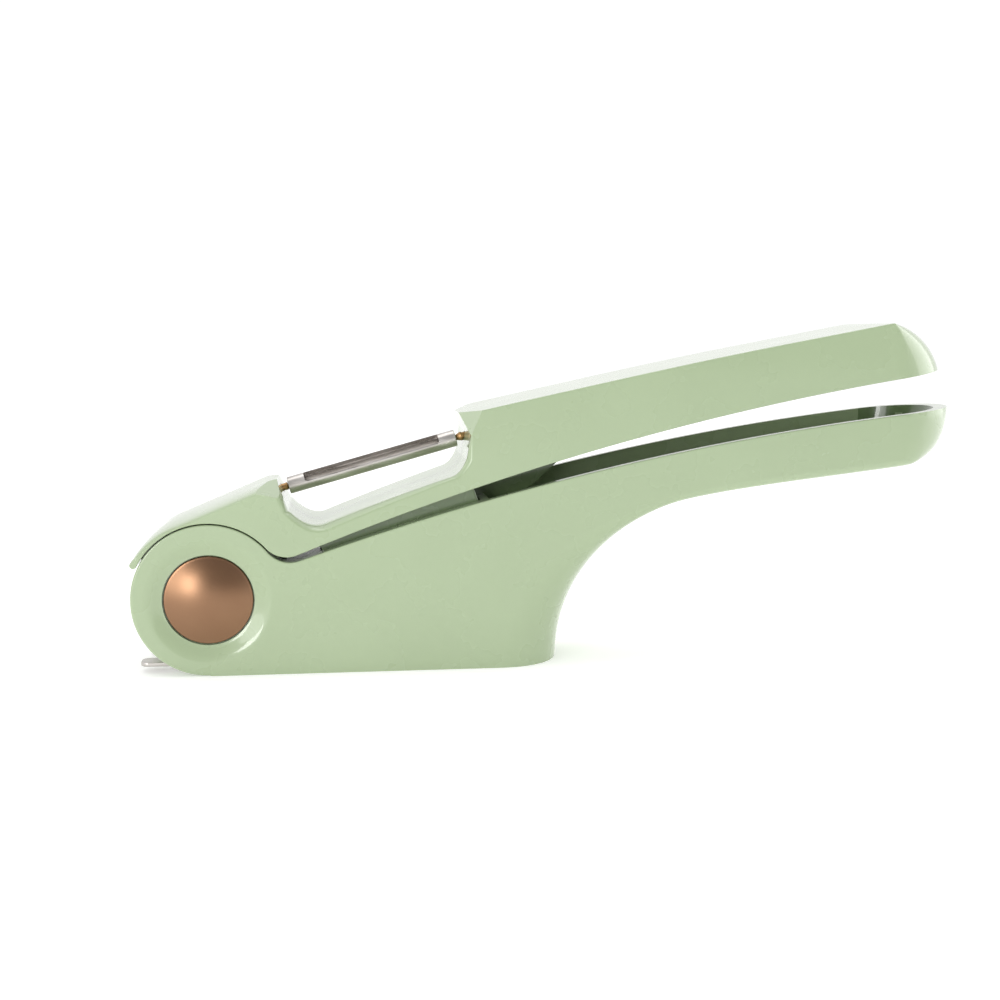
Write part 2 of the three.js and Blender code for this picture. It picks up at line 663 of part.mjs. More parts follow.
// A thin domed shell whose rim stands on the cheek's seat.
function hingeCap(side) {
  const rim = HALF_WIDTH - CAP_RECESS + TOUCH_GAP;
  const profile = [];
  const steps = 5;
  for (let k = 0; k <= steps; k += 1) {
    const radius = (CAP_RADIUS * k) / steps;
    profile.push([radius, rim + CAP_WALL + CAP_RISE * (1 - (k / steps) ** 2)]);
  }
  profile.push([CAP_RADIUS, rim], [CAP_RADIUS - CAP_WALL, rim]);
  for (let k = steps - 1; k >= 0; k -= 1) {
    const radius = ((CAP_RADIUS - CAP_WALL) * k) / steps;
    profile.push([radius, rim + CAP_RISE * (1 - (k / steps) ** 2) + HEAD_CLEARANCE]);
  }
  return turned(profile.map(([radius, z]) => [radius, side * z]), 40);
}

function tubeAbout(inner, outer, z0, z1) {
  return roller(outer, z0, z1, 32).subtract(roller(inner, z0 - 1, z1 + 1, 32));
}

function hubBush(side) {
  const ends = [side * (BARREL_HALF - BUSH_LENGTH), side * BARREL_HALF].sort((a, b) => a - b);
  return tubeAbout(PIN_RADIUS + TOUCH_GAP, BUSH_RADIUS, ...ends);
}

function thrustWasher(side) {
  const ends = [side * (BARREL_HALF + TOUCH_GAP), side * (CHEEK_INNER - TOUCH_GAP)].sort((a, b) => a - b);
  return tubeAbout(PIN_RADIUS + TOUCH_GAP, WASHER_RADIUS, ...ends);
}

// ---------------------------------------------------------------- peeler

// A body turned about its own x axis, from [x, radius] points.
function alongX(profile, segments) {
  return toSolid(lathe(profile.map(([x, radius]) => [radius, x]), segments).rotateZ(-Math.PI / 2));
}

function peelerBlade() {
  const tube = alongX([
    [-bladeHalf, BLADE_BORE],
    [-bladeHalf, BLADE_RADIUS],
    [bladeHalf, BLADE_RADIUS],
    [bladeHalf, BLADE_BORE],
  ], 24);
  const slotHalf = BLADE_SLOT_LENGTH / 2;
  return tube.subtract(block(-slotHalf, slotHalf, 0, BLADE_RADIUS + 1, BLADE_SLOT_HALF));
}

// A stepped pin: its shank in the blade's end, a cone, and its root in the horn.
function bladePin(direction) {
  const gap = direction > 0 ? REAR_GAP : FRONT_GAP;
  const blade = bladeHalf + TOUCH_GAP;
  const horn = bladeHalf + gap;
  return alongX([
    [direction * (bladeHalf - PIN_REACH), 0],
    [direction * (bladeHalf - PIN_REACH), PIN_SHAFT],
    [direction * blade, PIN_SHAFT],
    [direction * (horn - 2 * TOUCH_GAP), PIN_SHAFT + 0.15 * gap],
    [direction * (horn - TOUCH_GAP), PIN_SHAFT],
    [direction * (horn + SOCKET_DEPTH - TOUCH_GAP - 0.5), PIN_SHAFT],
    [direction * (horn + SOCKET_DEPTH - TOUCH_GAP - 0.5), 0],
  ], 16);
}

// ---------------------------------------------------------------- materials

function finish(color, roughness, metalness) {
  return new THREE.MeshStandardMaterial({ color, roughness, metalness });
}

const sage = () => finish(0xbbcca8, 0.28, 0);
const bronze = () => finish(0x8e7058, 0.2, 1);
const steel = () => finish(0xbeb9b4, 0.3, 1);
const brassy = () => finish(0xa8845a, 0.35, 1);
const nylon = () => finish(0xe6e4dc, 0.5, 0);

function piece(name, solid, material) {
  const mesh = new THREE.Mesh(toGeometry(solid), material);
  mesh.name = name;
  return mesh;
}

// ---------------------------------------------------------------- assembly

function bladeGroup() {
  const group = new THREE.Group();
  const blade = piece('peeler_blade', peelerBlade(), steel());
  blade.rotation.x = rad(BLADE_REST_DEG);
  group.add(blade);
  group.add(piece('blade_pin_front', bladePin(-1), brassy()));
  group.add(piece('blade_pin_rear', bladePin(1), brassy()));
  group.position.set(bladeMiddle.x, bladeMiddle.y, 0);
  group.rotation.z = bladeTilt;
  return group;
}

function leverGroup() {
  const group = new THREE.Group();
  group.add(piece('upper_handle', upperHandle(), sage()));
  group.add(piece('plunger', plunger(), sage()));
  group.add(piece('hub_bush_near', hubBush(1), nylon()));
  group.add(piece('hub_bush_far', hubBush(-1), nylon()));
  group.add(bladeGroup());
  group.rotation.z = rad(REST_OPEN_DEG);
  return group;
}

function bodyGroup() {
  const group = new THREE.Group();
  group.add(piece('lower_body', lowerBody(), sage()));
  group.add(piece('sieve_plate', sievePlate(), steel()));
  group.add(piece('hinge_pin', hingePin(), steel()));
  group.add(piece('hinge_screw', hingeScrew(), steel()));
  group.add(piece('hinge_cap_near', hingeCap(1), bronze()));
  group.add(piece('hinge_cap_far', hingeCap(-1), bronze()));
  group.add(piece('thrust_washer_near', thrustWasher(1), nylon()));
  group.add(piece('thrust_washer_far', thrustWasher(-1), nylon()));
  return group;
}

const drawing = new THREE.Group();
drawing.add(bodyGroup());
drawing.add(leverGroup());
drawing.rotation.x = Math.PI / 2;
drawing.position.set((CHEEK_RADIUS - TIP_X) / 2, 0, CHEEK_RADIUS);

const press = new THREE.Group();
press.add(drawing);

export default press;
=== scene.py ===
"""A garlic press with a peeler blade: the looks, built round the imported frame.

Outlines are drawn in millimetres about the hinge axis: x runs to the handle tips, y is up and z is
across, towards the near cheek. The lever is drawn closed and opened to its rest angle when placed.
"""

import json
import math

import bmesh
import bpy
import numpy as np
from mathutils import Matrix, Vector
from mathutils.bvhtree import BVHTree


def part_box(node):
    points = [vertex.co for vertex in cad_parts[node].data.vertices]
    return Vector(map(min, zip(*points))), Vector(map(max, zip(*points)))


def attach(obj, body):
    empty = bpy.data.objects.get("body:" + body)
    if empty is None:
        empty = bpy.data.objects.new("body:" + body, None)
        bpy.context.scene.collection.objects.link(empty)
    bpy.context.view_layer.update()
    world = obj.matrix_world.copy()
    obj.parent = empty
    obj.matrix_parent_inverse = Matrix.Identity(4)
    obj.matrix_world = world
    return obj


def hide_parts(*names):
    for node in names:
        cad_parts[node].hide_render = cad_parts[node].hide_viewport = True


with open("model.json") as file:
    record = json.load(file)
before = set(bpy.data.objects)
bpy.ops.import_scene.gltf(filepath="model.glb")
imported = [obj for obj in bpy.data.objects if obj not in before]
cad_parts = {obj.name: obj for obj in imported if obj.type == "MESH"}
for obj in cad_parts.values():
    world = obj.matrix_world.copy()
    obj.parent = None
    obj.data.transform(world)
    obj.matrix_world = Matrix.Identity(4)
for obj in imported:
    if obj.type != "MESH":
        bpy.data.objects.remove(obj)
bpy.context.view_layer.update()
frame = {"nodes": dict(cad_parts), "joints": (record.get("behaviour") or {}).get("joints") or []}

MM = 0.001
ON_SURFACE = 1e-5

# ---------------------------------------------------------------- sizes from the frame

JOINTS = {joint["name"]: joint for joint in frame["joints"]}
HINGE = Vector(JOINTS["lever_hinge"]["pos_m"]) / MM
REST_OPEN = math.radians(-JOINTS["lever_hinge"]["range_deg"][0])
BLADE_AXIS = Vector(JOINTS["blade_swivel"]["axis"]).normalized()
BLADE_MIDDLE = Vector(JOINTS["blade_swivel"]["pos_m"]) / MM


def node_box(name):
    """Lowest and highest corner of a CAD node, in millimetres from the hinge axis, in the row's axes."""
    low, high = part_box(name)
    return low / MM - HINGE, high / MM - HINGE


BODY_LOW, BODY_HIGH = node_box("lower_body")
CAP_LOW, CAP_HIGH = node_box("hinge_cap_near")
SIEVE_LOW, SIEVE_HIGH = node_box("sieve_plate")

HALF_WIDTH = BODY_HIGH.y
CHEEK_RADIUS = -BODY_LOW.z
TIP_X = BODY_HIGH.x
BASE_Y = BODY_LOW.z
CAP_RADIUS = (CAP_HIGH.x - CAP_LOW.x) / 2

# ---------------------------------------------------------------- sizes of the mouldings

BASE_LENGTH = 86.4
SHELL_WALL = 2.4
CHEEK_INNER = 12.6
FLOOR = 4.6
TOUCH_GAP = 0.3
SIDE_GAP = 0.4
CUT = 60.0
BASE_SPARE = 20.0
BASE_EDGE = 0.6

KNEE_RADIUS = 7.0
RIM_START = (21.0, 9.0)
RIM_SLOPE = math.radians(19.1)
RIM_RADIUS = 710.0

NECK_PULL = (1.0, 20.0)
BEND_PULL = (-20.0, -4.2)
BEND = (118.0, 22.8)
GRIP_PULL = (16.0, 3.4)
GRIP_END_PULL = (-19.0, -2.8)
GRIP_END_BACK = 11.2
GRIP_END_DEPTH = 13.0
TIP_CORNER_REACH = 0.3
TIP_CORNER_DEPTH = 12.1
NECK_CORNER = 15.0
GRIP_CORNER = 2.0

CHAMBER_FRONT = 29.0
CHAMBER_REAR = 70.1
CHAMBER_WALL = 2.0
GUSSET_HALF = 1.5
GUSSET_REACH = 17.8
GUSSET_DROP = 2.2
GUSSET_RISE = 0.81
GUSSET_SLOT_DROP = 2.2
GUSSET_SLOT_REACH = (12.0, 6.0)
PLUNGER_WALL = 2.2
PLUNGER_FACE = 3.0
PRESS_GAP = 0.5

LEDGE = 1.3
SIEVE_FRONT = CHAMBER_FRONT - 7.0
SIEVE_TAB_WIDTH = 5.8
SIEVE_CORNER = 2.0
SIEVE_HOLE = 1.1
SIEVE_PITCH = 3.5
LEDGE_FRONT = -9.8
OUTLET_FRONT = CHAMBER_FRONT + 2.0
OUTLET_REAR = CHAMBER_REAR - 3.1
OUTLET_HALF = CHEEK_INNER - 2.6
HOLE_MARGIN = 0.5

BARREL_RADIUS = 13.5
BARREL_HALF = 11.3
PIN_RADIUS = 3.0
BUSH_RADIUS = 5.0
WASHER_RADIUS = 8.0
CAP_RECESS = 2.4
DISH_RADIUS = 15.6
DISH_DEPTH = 1.25

HOOD_THICKNESS = 1.7
HOOD_END = math.radians(150)
HOOD_LINE_END = (15.2, 26.9)
HORN_CORNER = (17.8, 27.3)
ARM_THICKNESS = 4.6
LEFT_WALL_FOOT = (20.3, 20.6)
NOTCH_FLOOR_START = 29.0
NOTCH_FLOOR_END = 60.0
RIGHT_WALL = ((64.2, 30.5), (65.4, 36.0), (63.6, 41.2))
LEVER_TIP_X = TIP_X - 0.4
LEVER_CHANNEL_X = 80.0
# The handle's top and the pulls of its tip curve: place along x and height above the rim
GRIP_TOP_RISE = ((80.0, 17.4), (126.0, 14.9), (LEVER_TIP_X - 18.8, 14.5))
LEVER_TIP_RISE = ((LEVER_TIP_X - 9.8, 14.9), (LEVER_TIP_X - 1.8, 8.1))
HORN_FACET = 6.0
FRONT_FACET = (11.0, 25.6)
FRONT_FACET_FOOT = (19.0, 23.6)
RIGHT_FACET = (68.8, 42.8)
WEB_END = math.radians(27)
# How far the lever's edges round, inwards and across
SEAM_EDGE = (0.3, 0.3)
TOP_EDGE = (0.45, 0.45)
FACET_EDGE = (0.25, 0.25)
WALL_EDGE = (1.3, 2.2)
FLOOR_END_EDGE = (0.9, 1.6)
FLOOR_EDGE = (1.7, 5.0)
HORN_EDGE = (1.3, 10.0)
HOOD_EDGE = (1.35, 15.5)
HOOD_END_EDGE = (0.7, 4.0)

BLADE_ENDS = ((20.4, 24.9), (63.0, 34.5))
BLADE_HALF = math.dist(*BLADE_ENDS) / 2
BLADE_RADIUS = 2.15
BLADE_BORE = 1.25
BLADE_SLOT_HALF_LENGTH = 17.5
BLADE_SLOT_HALF = 1.5
BLADE_REST = math.radians(48)
PIN_SHAFT = 0.9
PIN_REACH = 3.0
SOCKET_DEPTH = 4.5
SOCKET_MOUTH = 1.5
FRONT_GAP = 0.9
REAR_GAP = 2.0

SEAM_RADIUS = CHEEK_RADIUS + TOUCH_GAP
SIEVE_TOP = SIEVE_HIGH.z
SLOT_TOP = SIEVE_TOP + TOUCH_GAP


# ---------------------------------------------------------------- curves

def bezier(p0, p1, p2, p3, count):
    """Points on a cubic, both ends included."""
    t = np.linspace(0, 1, count + 1)[:, None]
    p0, p1, p2, p3 = (np.array(p, float) for p in (p0, p1, p2, p3))
    return (1 - t) ** 3 * p0 + 3 * t * (1 - t) ** 2 * p1 + 3 * t**2 * (1 - t) * p2 + t**3 * p3


def quadratic(p0, p1, p2, count):
    t = np.linspace(0, 1, count + 1)[:, None]
    p0, p1, p2 = (np.array(p, float) for p in (p0, p1, p2))
    return (1 - t) ** 2 * p0 + 2 * t * (1 - t) * p1 + t**2 * p2


def arc(centre, radius, start, end, count):
    turn = np.linspace(start, end, count + 1)
    return np.stack([centre[0] + radius * np.cos(turn), centre[1] + radius * np.sin(turn)], 1)


def spline(points, count):
    """A Catmull-Rom curve through the points."""
    p = [np.array(q, float) for q in points]
    p = [2 * p[0] - p[1], *p, 2 * p[-1] - p[-2]]
    t = np.linspace(0, 1, count + 1)[:, None]
    runs = []
    for a, b, c, d in zip(p, p[1:], p[2:], p[3:]):
        square = (2 * a - 5 * b + 4 * c - d) * t**2
        cube = (3 * b - a - 3 * c + d) * t**3
        runs.append(0.5 * (2 * b + (c - a) * t + square + cube))
    return np.concatenate(runs)


# ---------------------------------------------------------------- parting line

rim_turn = math.pi / 2 + RIM_SLOPE
RIM_CENTRE = (
    RIM_START[0] - RIM_RADIUS * math.cos(rim_turn),
    RIM_START[1] - RIM_RADIUS * math.sin(rim_turn),
)


def find_knee():
    """The knee's circle lies outside both the cheek's circle and the rim's."""
    from_hinge = CHEEK_RADIUS + KNEE_RADIUS
    from_rim = RIM_RADIUS + KNEE_RADIUS
    apart = math.hypot(*RIM_CENTRE)
    along = (from_hinge**2 - from_rim**2 + apart**2) / (2 * apart)
    across = math.sqrt(from_hinge**2 - along**2)
    way = (RIM_CENTRE[0] / apart, RIM_CENTRE[1] / apart)
    return (way[0] * along - way[1] * across, way[1] * along + way[0] * across)


KNEE = find_knee()
KNEE_AT_CHEEK = math.atan2(KNEE[1], KNEE[0])
KNEE_TO_RIM = math.atan2(RIM_CENTRE[1] - KNEE[1], RIM_CENTRE[0] - KNEE[0]) + 2 * math.pi


def rim_height(x, gap=0.0):
    return RIM_CENTRE[1] + math.sqrt((RIM_RADIUS + gap) ** 2 - (x - RIM_CENTRE[0]) ** 2)


def rim_angle(x, gap=0.0):
    return math.acos((x - RIM_CENTRE[0]) / (RIM_RADIUS + gap))


def from_rim(x, rise):
    return (x, rim_height(x) + rise)


def pulled(point, pull):
    return (point[0] + pull[0], point[1] + pull[1])


GRIP_END = from_rim(TIP_X - GRIP_END_BACK, -GRIP_END_DEPTH)
TIP_CORNER = from_rim(TIP_X + TIP_CORNER_REACH, -TIP_CORNER_DEPTH)
GRIP_TOP = [from_rim(*point) for point in GRIP_TOP_RISE]
LEVER_TIP_PULLS = [from_rim(*point) for point in LEVER_TIP_RISE]
GUSSET_TOP = from_rim(CHAMBER_REAR + GUSSET_REACH, -GUSSET_DROP)


# ---------------------------------------------------------------- outlines and solids

class Outline:
    """A closed outline, anticlockwise, and at each point how far its edge rounds in and across."""

    def __init__(self):
        self.points = []
        self.edges = []

    def run(self, points, start, end=None):
        """Adds points whose edge rounding goes from start to end, each (inwards, across)."""
        end = end or start
        last = max(len(points) - 1, 1)
        for k, point in enumerate(points):
            share = k / last
            if self.points and np.hypot(*(np.array(point) - self.points[-1])) < 1e-3:
                continue
            self.points.append(np.array(point, float))
            self.edges.append([a + (b - a) * share for a, b in zip(start, end)])
        return self

    def arrays(self):
        points = np.array(self.points)
        edges = np.array(self.edges)
        if np.hypot(*(points[0] - points[-1])) < 1e-3:
            points, edges = points[:-1], edges[:-1]
        return points, edges


def inward_normals(points):
    """The mitred inward normal at each point of an anticlockwise outline."""
    after = np.roll(points, -1, 0) - points
    after /= np.linalg.norm(after, axis=1)[:, None]
    before = np.roll(after, 1, 0)
    n_after = np.stack([-after[:, 1], after[:, 0]], 1)
    n_before = np.stack([-before[:, 1], before[:, 0]], 1)
    total = n_after + n_before
    share = 1 + np.sum(n_after * n_before, 1)
    return total / np.maximum(share, 0.5)[:, None]


def rim_heights(x):
    return RIM_CENTRE[1] + np.sqrt(RIM_RADIUS**2 - (x - RIM_CENTRE[0]) ** 2)


def rounded_slab(outline, half, tip=None, steps=8, middle=18):
    """A thick outline with its two rims rounded. Past x = tip it narrows to a half circle."""
    points, edges = outline.arrays()
    normals = inward_normals(points)
    rings = []
    turns = np.linspace(math.pi / 2, 0, steps + 1)
    for turn in turns:
        rings.append((1 - math.cos(turn), -1, 1 - math.sin(turn), 1.0))
    for turn in np.linspace(-math.pi / 2, math.pi / 2, middle + 1)[1:-1]:
        rings.append((0.0, 0, 0.0, math.sin(turn)))
    for turn in turns[::-1]:
        rings.append((1 - math.cos(turn), 1, 1 - math.sin(turn), 1.0))
    layers = []
    for inset, side, back, share in rings:
        flat = points + normals * (edges[:, :1] * inset)
        if side:
            z = side * (half - edges[:, 1] * back)
        else:
            z = share * (half - edges[:, 1])
        x, y = flat.T
        if tip is not None:
            narrow = np.sqrt(np.maximum(1 - (z / half) ** 2, 0))
            drawn_in = np.where(x > tip, tip + (x - tip) * narrow, x)
            y = y + rim_heights(drawn_in) - rim_heights(x)
            x = drawn_in
        layers.append(np.stack([x, y, z], 1))
    return skin(layers)


def skin(layers):
    """A closed mesh over a stack of rings, capped at each end."""
    count = len(layers[0])
    vertices = np.concatenate(layers)
    faces = []
    for k in range(len(layers) - 1):
        for j in range(count):
            a, b = k * count + j, k * count + (j + 1) % count
            faces.append((a, b, b + count, a + count))
    last = (len(layers) - 1) * count
    faces.append(tuple(range(count))[::-1])
    faces.append(tuple(range(last, last + count)))
    return vertices, faces


def slab(points, half, z=0.0):
    """A plain thick outline."""
    points = np.array(points, float)
    low = np.column_stack([points, np.full(len(points), z - half)])
    high = np.column_stack([points, np.full(len(points), z + half)])
    return skin([low, high])


def block(x0, x1, y0, y1, half):
    return slab([(x0, y0), (x1, y0), (x1, y1), (x0, y1)], half)


def turned(profile, segments=96):
    """A solid turned about the hinge axis from [radius, z] points; ends on the axis or closes."""
    rings = []
    for turn in np.linspace(0, 2 * math.pi, segments, endpoint=False):
        rings.append([(r * math.cos(turn), r * math.sin(turn), z) for r, z in profile])
    count = len(profile)
    vertices = np.array(rings).reshape(-1, 3)
    faces = []
    for k in range(segments):
        for j in range(count):
            a, b = k * count + j, k * count + (j + 1) % count
            c, d = ((k + 1) % segments) * count + (j + 1) % count, ((k + 1) % segments) * count + j
            faces.append((a, b, c, d))
    return vertices, faces


def roller(radius, z0, z1, segments=96):
    return turned([(0, z0), (radius, z0), (radius, z1), (0, z1)], segments)


# ---------------------------------------------------------------- meshes

def closed_place(vertices):
    """From the drawing to the row frame, in metres, for what stays with the body."""
    x, y, z = vertices.T
    return np.stack([HINGE.x + x, HINGE.y - z, HINGE.z + y], 1) * MM


def lever_place(vertices):
    """The same for the lever, opened to its rest angle."""
    x, y, z = vertices.T
    c, s = math.cos(REST_OPEN), math.sin(REST_OPEN)
    return closed_place(np.stack([x * c - y * s, x * s + y * c, z], 1))


def make_object(name, solid, place):
    vertices, faces = solid
    vertices = place(np.array(vertices, float))
    mesh = bpy.data.meshes.new(name)
    mesh.from_pydata([tuple(v) for v in vertices], [], faces)
    mesh.validate()
    obj = bpy.data.objects.new(name, mesh)
    bpy.context.scene.collection.objects.link(obj)
    made = bmesh.new()
    made.from_mesh(mesh)
    bmesh.ops.remove_doubles(made, verts=made.verts, dist=1e-7)
    bmesh.ops.dissolve_degenerate(made, edges=made.edges, dist=1e-8)
    bmesh.ops.recalc_face_normals(made, faces=made.faces)
    made.to_mesh(mesh)
    made.free()
    return obj


def combine(obj, operation, tool):
    modifier = obj.modifiers.new("cut", "BOOLEAN")
    modifier.operation = operation
    modifier.solver = "MANIFOLD"
    modifier.object = tool
    apply_modifiers(obj)


def cut(obj, place, solids, operation="DIFFERENCE"):
    """Cuts solids out of an object in turn."""
    for solid in solids:
        tool = make_object(f"{obj.name}_tool", solid, place)
        combine(obj, operation, tool)
        bpy.data.objects.remove(tool)


def join(obj, place, solids):
    cut(obj, place, solids, "UNION")


def surface_tree(obj):
    """A search tree over an object's faces, as it stands."""
    corners = [v.co.copy() for v in obj.data.vertices]
    return BVHTree.FromPolygons(corners, [tuple(face.vertices) for face in obj.data.polygons])


def apply_modifiers(obj):
    graph = bpy.context.evaluated_depsgraph_get()
    mesh = bpy.data.meshes.new_from_object(obj.evaluated_get(graph), depsgraph=graph)
    obj.modifiers.clear()
    old = obj.data
    obj.data = mesh
    mesh.name = obj.name
    bpy.data.meshes.remove(old)


def smooth(obj, angle=32, bevel=0.0, segments=2):
    """Rounds the sharp edges by a small bevel and shades smooth between them."""
    if bevel:
        modifier = obj.modifiers.new("edge", "BEVEL")
        modifier.width = bevel * MM
        modifier.segments = segments
        modifier.limit_method = "ANGLE"
        modifier.angle_limit = math.radians(angle)
        modifier.use_clamp_overlap = True
        modifier.harden_normals = False
        apply_modifiers(obj)
    obj.data.shade_smooth()
    obj.data.set_sharp_from_angle(angle=math.radians(angle))
    weighted = obj.modifiers.new("normals", "WEIGHTED_NORMAL")
    weighted.keep_sharp = True
    weighted.weight = 50
    return obj


# ---------------------------------------------------------------- lower body

NECK_CURVE = bezier(
    (BASE_LENGTH, BASE_Y),
    (BASE_LENGTH + NECK_PULL[0], BASE_Y + NECK_PULL[1]),
    (BEND[0] + BEND_PULL[0], BEND[1] + BEND_PULL[1]),
    BEND,
    48,
)
GRIP_CURVE = bezier(BEND, pulled(BEND, GRIP_PULL), pulled(GRIP_END, GRIP_END_PULL), GRIP_END, 36)


def smoothstep(x, low, high):
    t = min(max((x - low) / (high - low), 0.0), 1.0)
    return t * t * (3 - 2 * t)


def offset(points, distance):
    """An open run of points moved to its left."""
    along = np.gradient(points, axis=0)
    along /= np.linalg.norm(along, axis=1)[:, None]
    return points + np.stack([-along[:, 1], along[:, 0]], 1) * distance


def neck_corners(inset=0.0):
    """The corner radius at each point of the neck, from the foot to the handle."""
    shares = np.linspace(0, 1, len(NECK_CURVE))
    radii = [NECK_CORNER + (GRIP_CORNER - NECK_CORNER) * smoothstep(s, 0.1, 0.9) for s in shares]
    return [max(r - inset, 0.6) for r in radii]


def body_outline():
    """The body from the side, run on below the base, where it is cut off flat."""
    outline = Outline()
    soft, rim_edge = (0.9, 0.9), (0.35, 0.35)
    low = BASE_Y - BASE_SPARE
    lean = NECK_PULL[0] * BASE_SPARE / NECK_PULL[1]
    outline.run([(0, low), (BASE_LENGTH - lean - NECK_CORNER, low)], soft)
    foot = pulled(NECK_CURVE[0], (-lean, -BASE_SPARE))
    outline.run([foot], (NECK_CORNER, NECK_CORNER))
    for point, radius in zip(NECK_CURVE, neck_corners()):
        outline.run([point], (radius, radius))
    grip_edge = (GRIP_CORNER, GRIP_CORNER)
    outline.run(GRIP_CURVE, grip_edge)
    tip = quadratic(GRIP_END, TIP_CORNER, (TIP_X, rim_height(TIP_X)), 20)
    outline.run(tip, grip_edge, rim_edge)
    rim = arc(RIM_CENTRE, RIM_RADIUS, rim_angle(TIP_X), KNEE_TO_RIM - math.pi, 60)
    outline.run(rim, rim_edge)
    outline.run(arc(KNEE, KNEE_RADIUS, KNEE_TO_RIM, KNEE_AT_CHEEK + math.pi, 20)[1:], rim_edge)
    cheek = arc((0, 0), CHEEK_RADIUS, KNEE_AT_CHEEK, 1.5 * math.pi, 80)
    outline.run(cheek[1:36], rim_edge)
    outline.run(cheek[36:50], rim_edge, soft)
    outline.run(cheek[50:], soft)
    return outline


def channel_solid():
    """The hollow of the neck and handle, a wall inside the skin."""
    outline = Outline()
    outline.run([(CUT, BASE_Y + FLOOR)], (0.6, 0.6))
    neck = offset(NECK_CURVE, SHELL_WALL)
    for point, radius in zip(neck, neck_corners(SHELL_WALL)):
        if point[1] > BASE_Y + FLOOR + 0.5:
            outline.run([point], (radius, radius))
    outline.run(offset(GRIP_CURVE, SHELL_WALL)[1:], (0.8, 0.8))
    tip = quadratic(
        (GRIP_END[0], GRIP_END[1] + SHELL_WALL),
        (TIP_X - SHELL_WALL, TIP_CORNER[1] + SHELL_WALL),
        (TIP_X - SHELL_WALL, CUT),
        16,
    )
    outline.run(tip, (0.8, 0.8))
    outline.run([(CUT, CUT)], (0.8, 0.8))
    return rounded_slab(outline, HALF_WIDTH - SHELL_WALL, tip=TIP_X - HALF_WIDTH)


def chamber_ring():
    """The garlic chamber's walls are arcs about the hinge."""
    low = SLOT_TOP - TOUCH_GAP
    start = math.asin(low / CHAMBER_REAR)
    outer = arc((0, 0), CHAMBER_REAR, start, 1.1, 64)
    inner = arc((0, 0), CHAMBER_FRONT, 1.1, math.asin(low / CHAMBER_FRONT), 48)
    return np.concatenate([outer, inner])


def hub_outline():
    reach = SEAM_RADIUS + HOOD_THICKNESS + SIDE_GAP
    swing = arc((0, 0), reach, WEB_END - math.radians(6), math.pi, 64)
    return np.concatenate([swing, [(-reach, BASE_Y + LEDGE), (0, BASE_Y + LEDGE), (0, 0)]])


def cap_seat(side):
    """A stepped seat for the cap, a concave dish round it and a bore for the pin."""
    seat = HALF_WIDTH - CAP_RECESS
    bore = PIN_RADIUS + TOUCH_GAP
    rim = CAP_RADIUS + TOUCH_GAP
    profile = [(0, 0), (bore, 0), (bore, seat), (rim, seat)]
    for k in range(17):
        share = k / 16
        rise = math.sin(share * math.pi / 2) ** 1.4
        profile.append((rim + (DISH_RADIUS - rim) * share, HALF_WIDTH - DISH_DEPTH * (1 - rise)))
    profile += [(DISH_RADIUS, HALF_WIDTH + 1), (0, HALF_WIDTH + 1)]
    return turned([(r, side * z) for r, z in profile], 128)


def gusset_height(x):
    return GUSSET_TOP[1] + (x - GUSSET_TOP[0]) * GUSSET_RISE


def gusset_slot():
    front, rear = CHAMBER_REAR - GUSSET_SLOT_REACH[0], CHAMBER_REAR + GUSSET_SLOT_REACH[1]
    floor = gusset_height(CHAMBER_REAR) - GUSSET_SLOT_DROP
    return block(front, rear, floor, CUT, GUSSET_HALF + SIDE_GAP)


def round_base(body):
    """Rounds the edge between the base and the sides."""
    made = bmesh.new()
    made.from_mesh(body.data)
    base = (HINGE.z + BASE_Y) * MM
    edges = [e for e in made.edges if all(abs(v.co.z - base) < 1e-6 for v in e.verts)]
    edges = [e for e in edges if not e.is_boundary]
    rim = [e for e in edges if abs(e.link_faces[0].normal.dot(e.link_faces[1].normal)) < 0.7]
    bmesh.ops.bevel(
        made, geom=rim, offset=BASE_EDGE * MM, segments=4, profile=0.5, affect="EDGES", clamp_overlap=True
    )
    made.to_mesh(body.data)
    made.free()


def make_lower_body():
    shape = rounded_slab(body_outline(), HALF_WIDTH, tip=TIP_X - HALF_WIDTH)
    body = make_object("body_casting", shape, closed_place)
    cut(body, closed_place, [block(-2 * CUT, 4 * CUT, BASE_Y - 2 * BASE_SPARE, BASE_Y, CUT)])
    round_base(body)
    channel = make_object("channel_core", channel_solid(), closed_place)
    cut(channel, closed_place, [roller(CHAMBER_REAR + CHAMBER_WALL, -HALF_WIDTH, HALF_WIDTH, 256)])
    combine(body, "DIFFERENCE", channel)
    core = surface_tree(channel)
    bpy.data.objects.remove(channel)
    wall = CHEEK_INNER
    outlet_top = SLOT_TOP - 0.1
    cut(body, closed_place, [
        slab(chamber_ring(), wall),
        slab(hub_outline(), wall),
        roller(BARREL_RADIUS + SIDE_GAP, -wall, wall),
        block(-CUT, SIEVE_HIGH.x + TOUCH_GAP, BASE_Y + LEDGE, SLOT_TOP, wall),
        block(OUTLET_FRONT, OUTLET_REAR, BASE_Y - 1, outlet_top, OUTLET_HALF),
        block(-CUT, LEDGE_FRONT, BASE_Y - 1, outlet_top, wall),
        gusset_slot(),
        cap_seat(1),
        cap_seat(-1),
    ])
    smooth(body)
    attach(body, "body")
    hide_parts("lower_body")
    return body, core


# ---------------------------------------------------------------- lever

def notch_floor(x):
    return rim_height(x, TOUCH_GAP) + ARM_THICKNESS


def hood_tangent():
    """The turn at which the straight line to the horn leaves the hood's circle."""
    radius = SEAM_RADIUS + HOOD_THICKNESS
    horn = math.atan2(HOOD_LINE_END[1], HOOD_LINE_END[0])
    return horn + math.acos(radius / math.hypot(*HOOD_LINE_END))


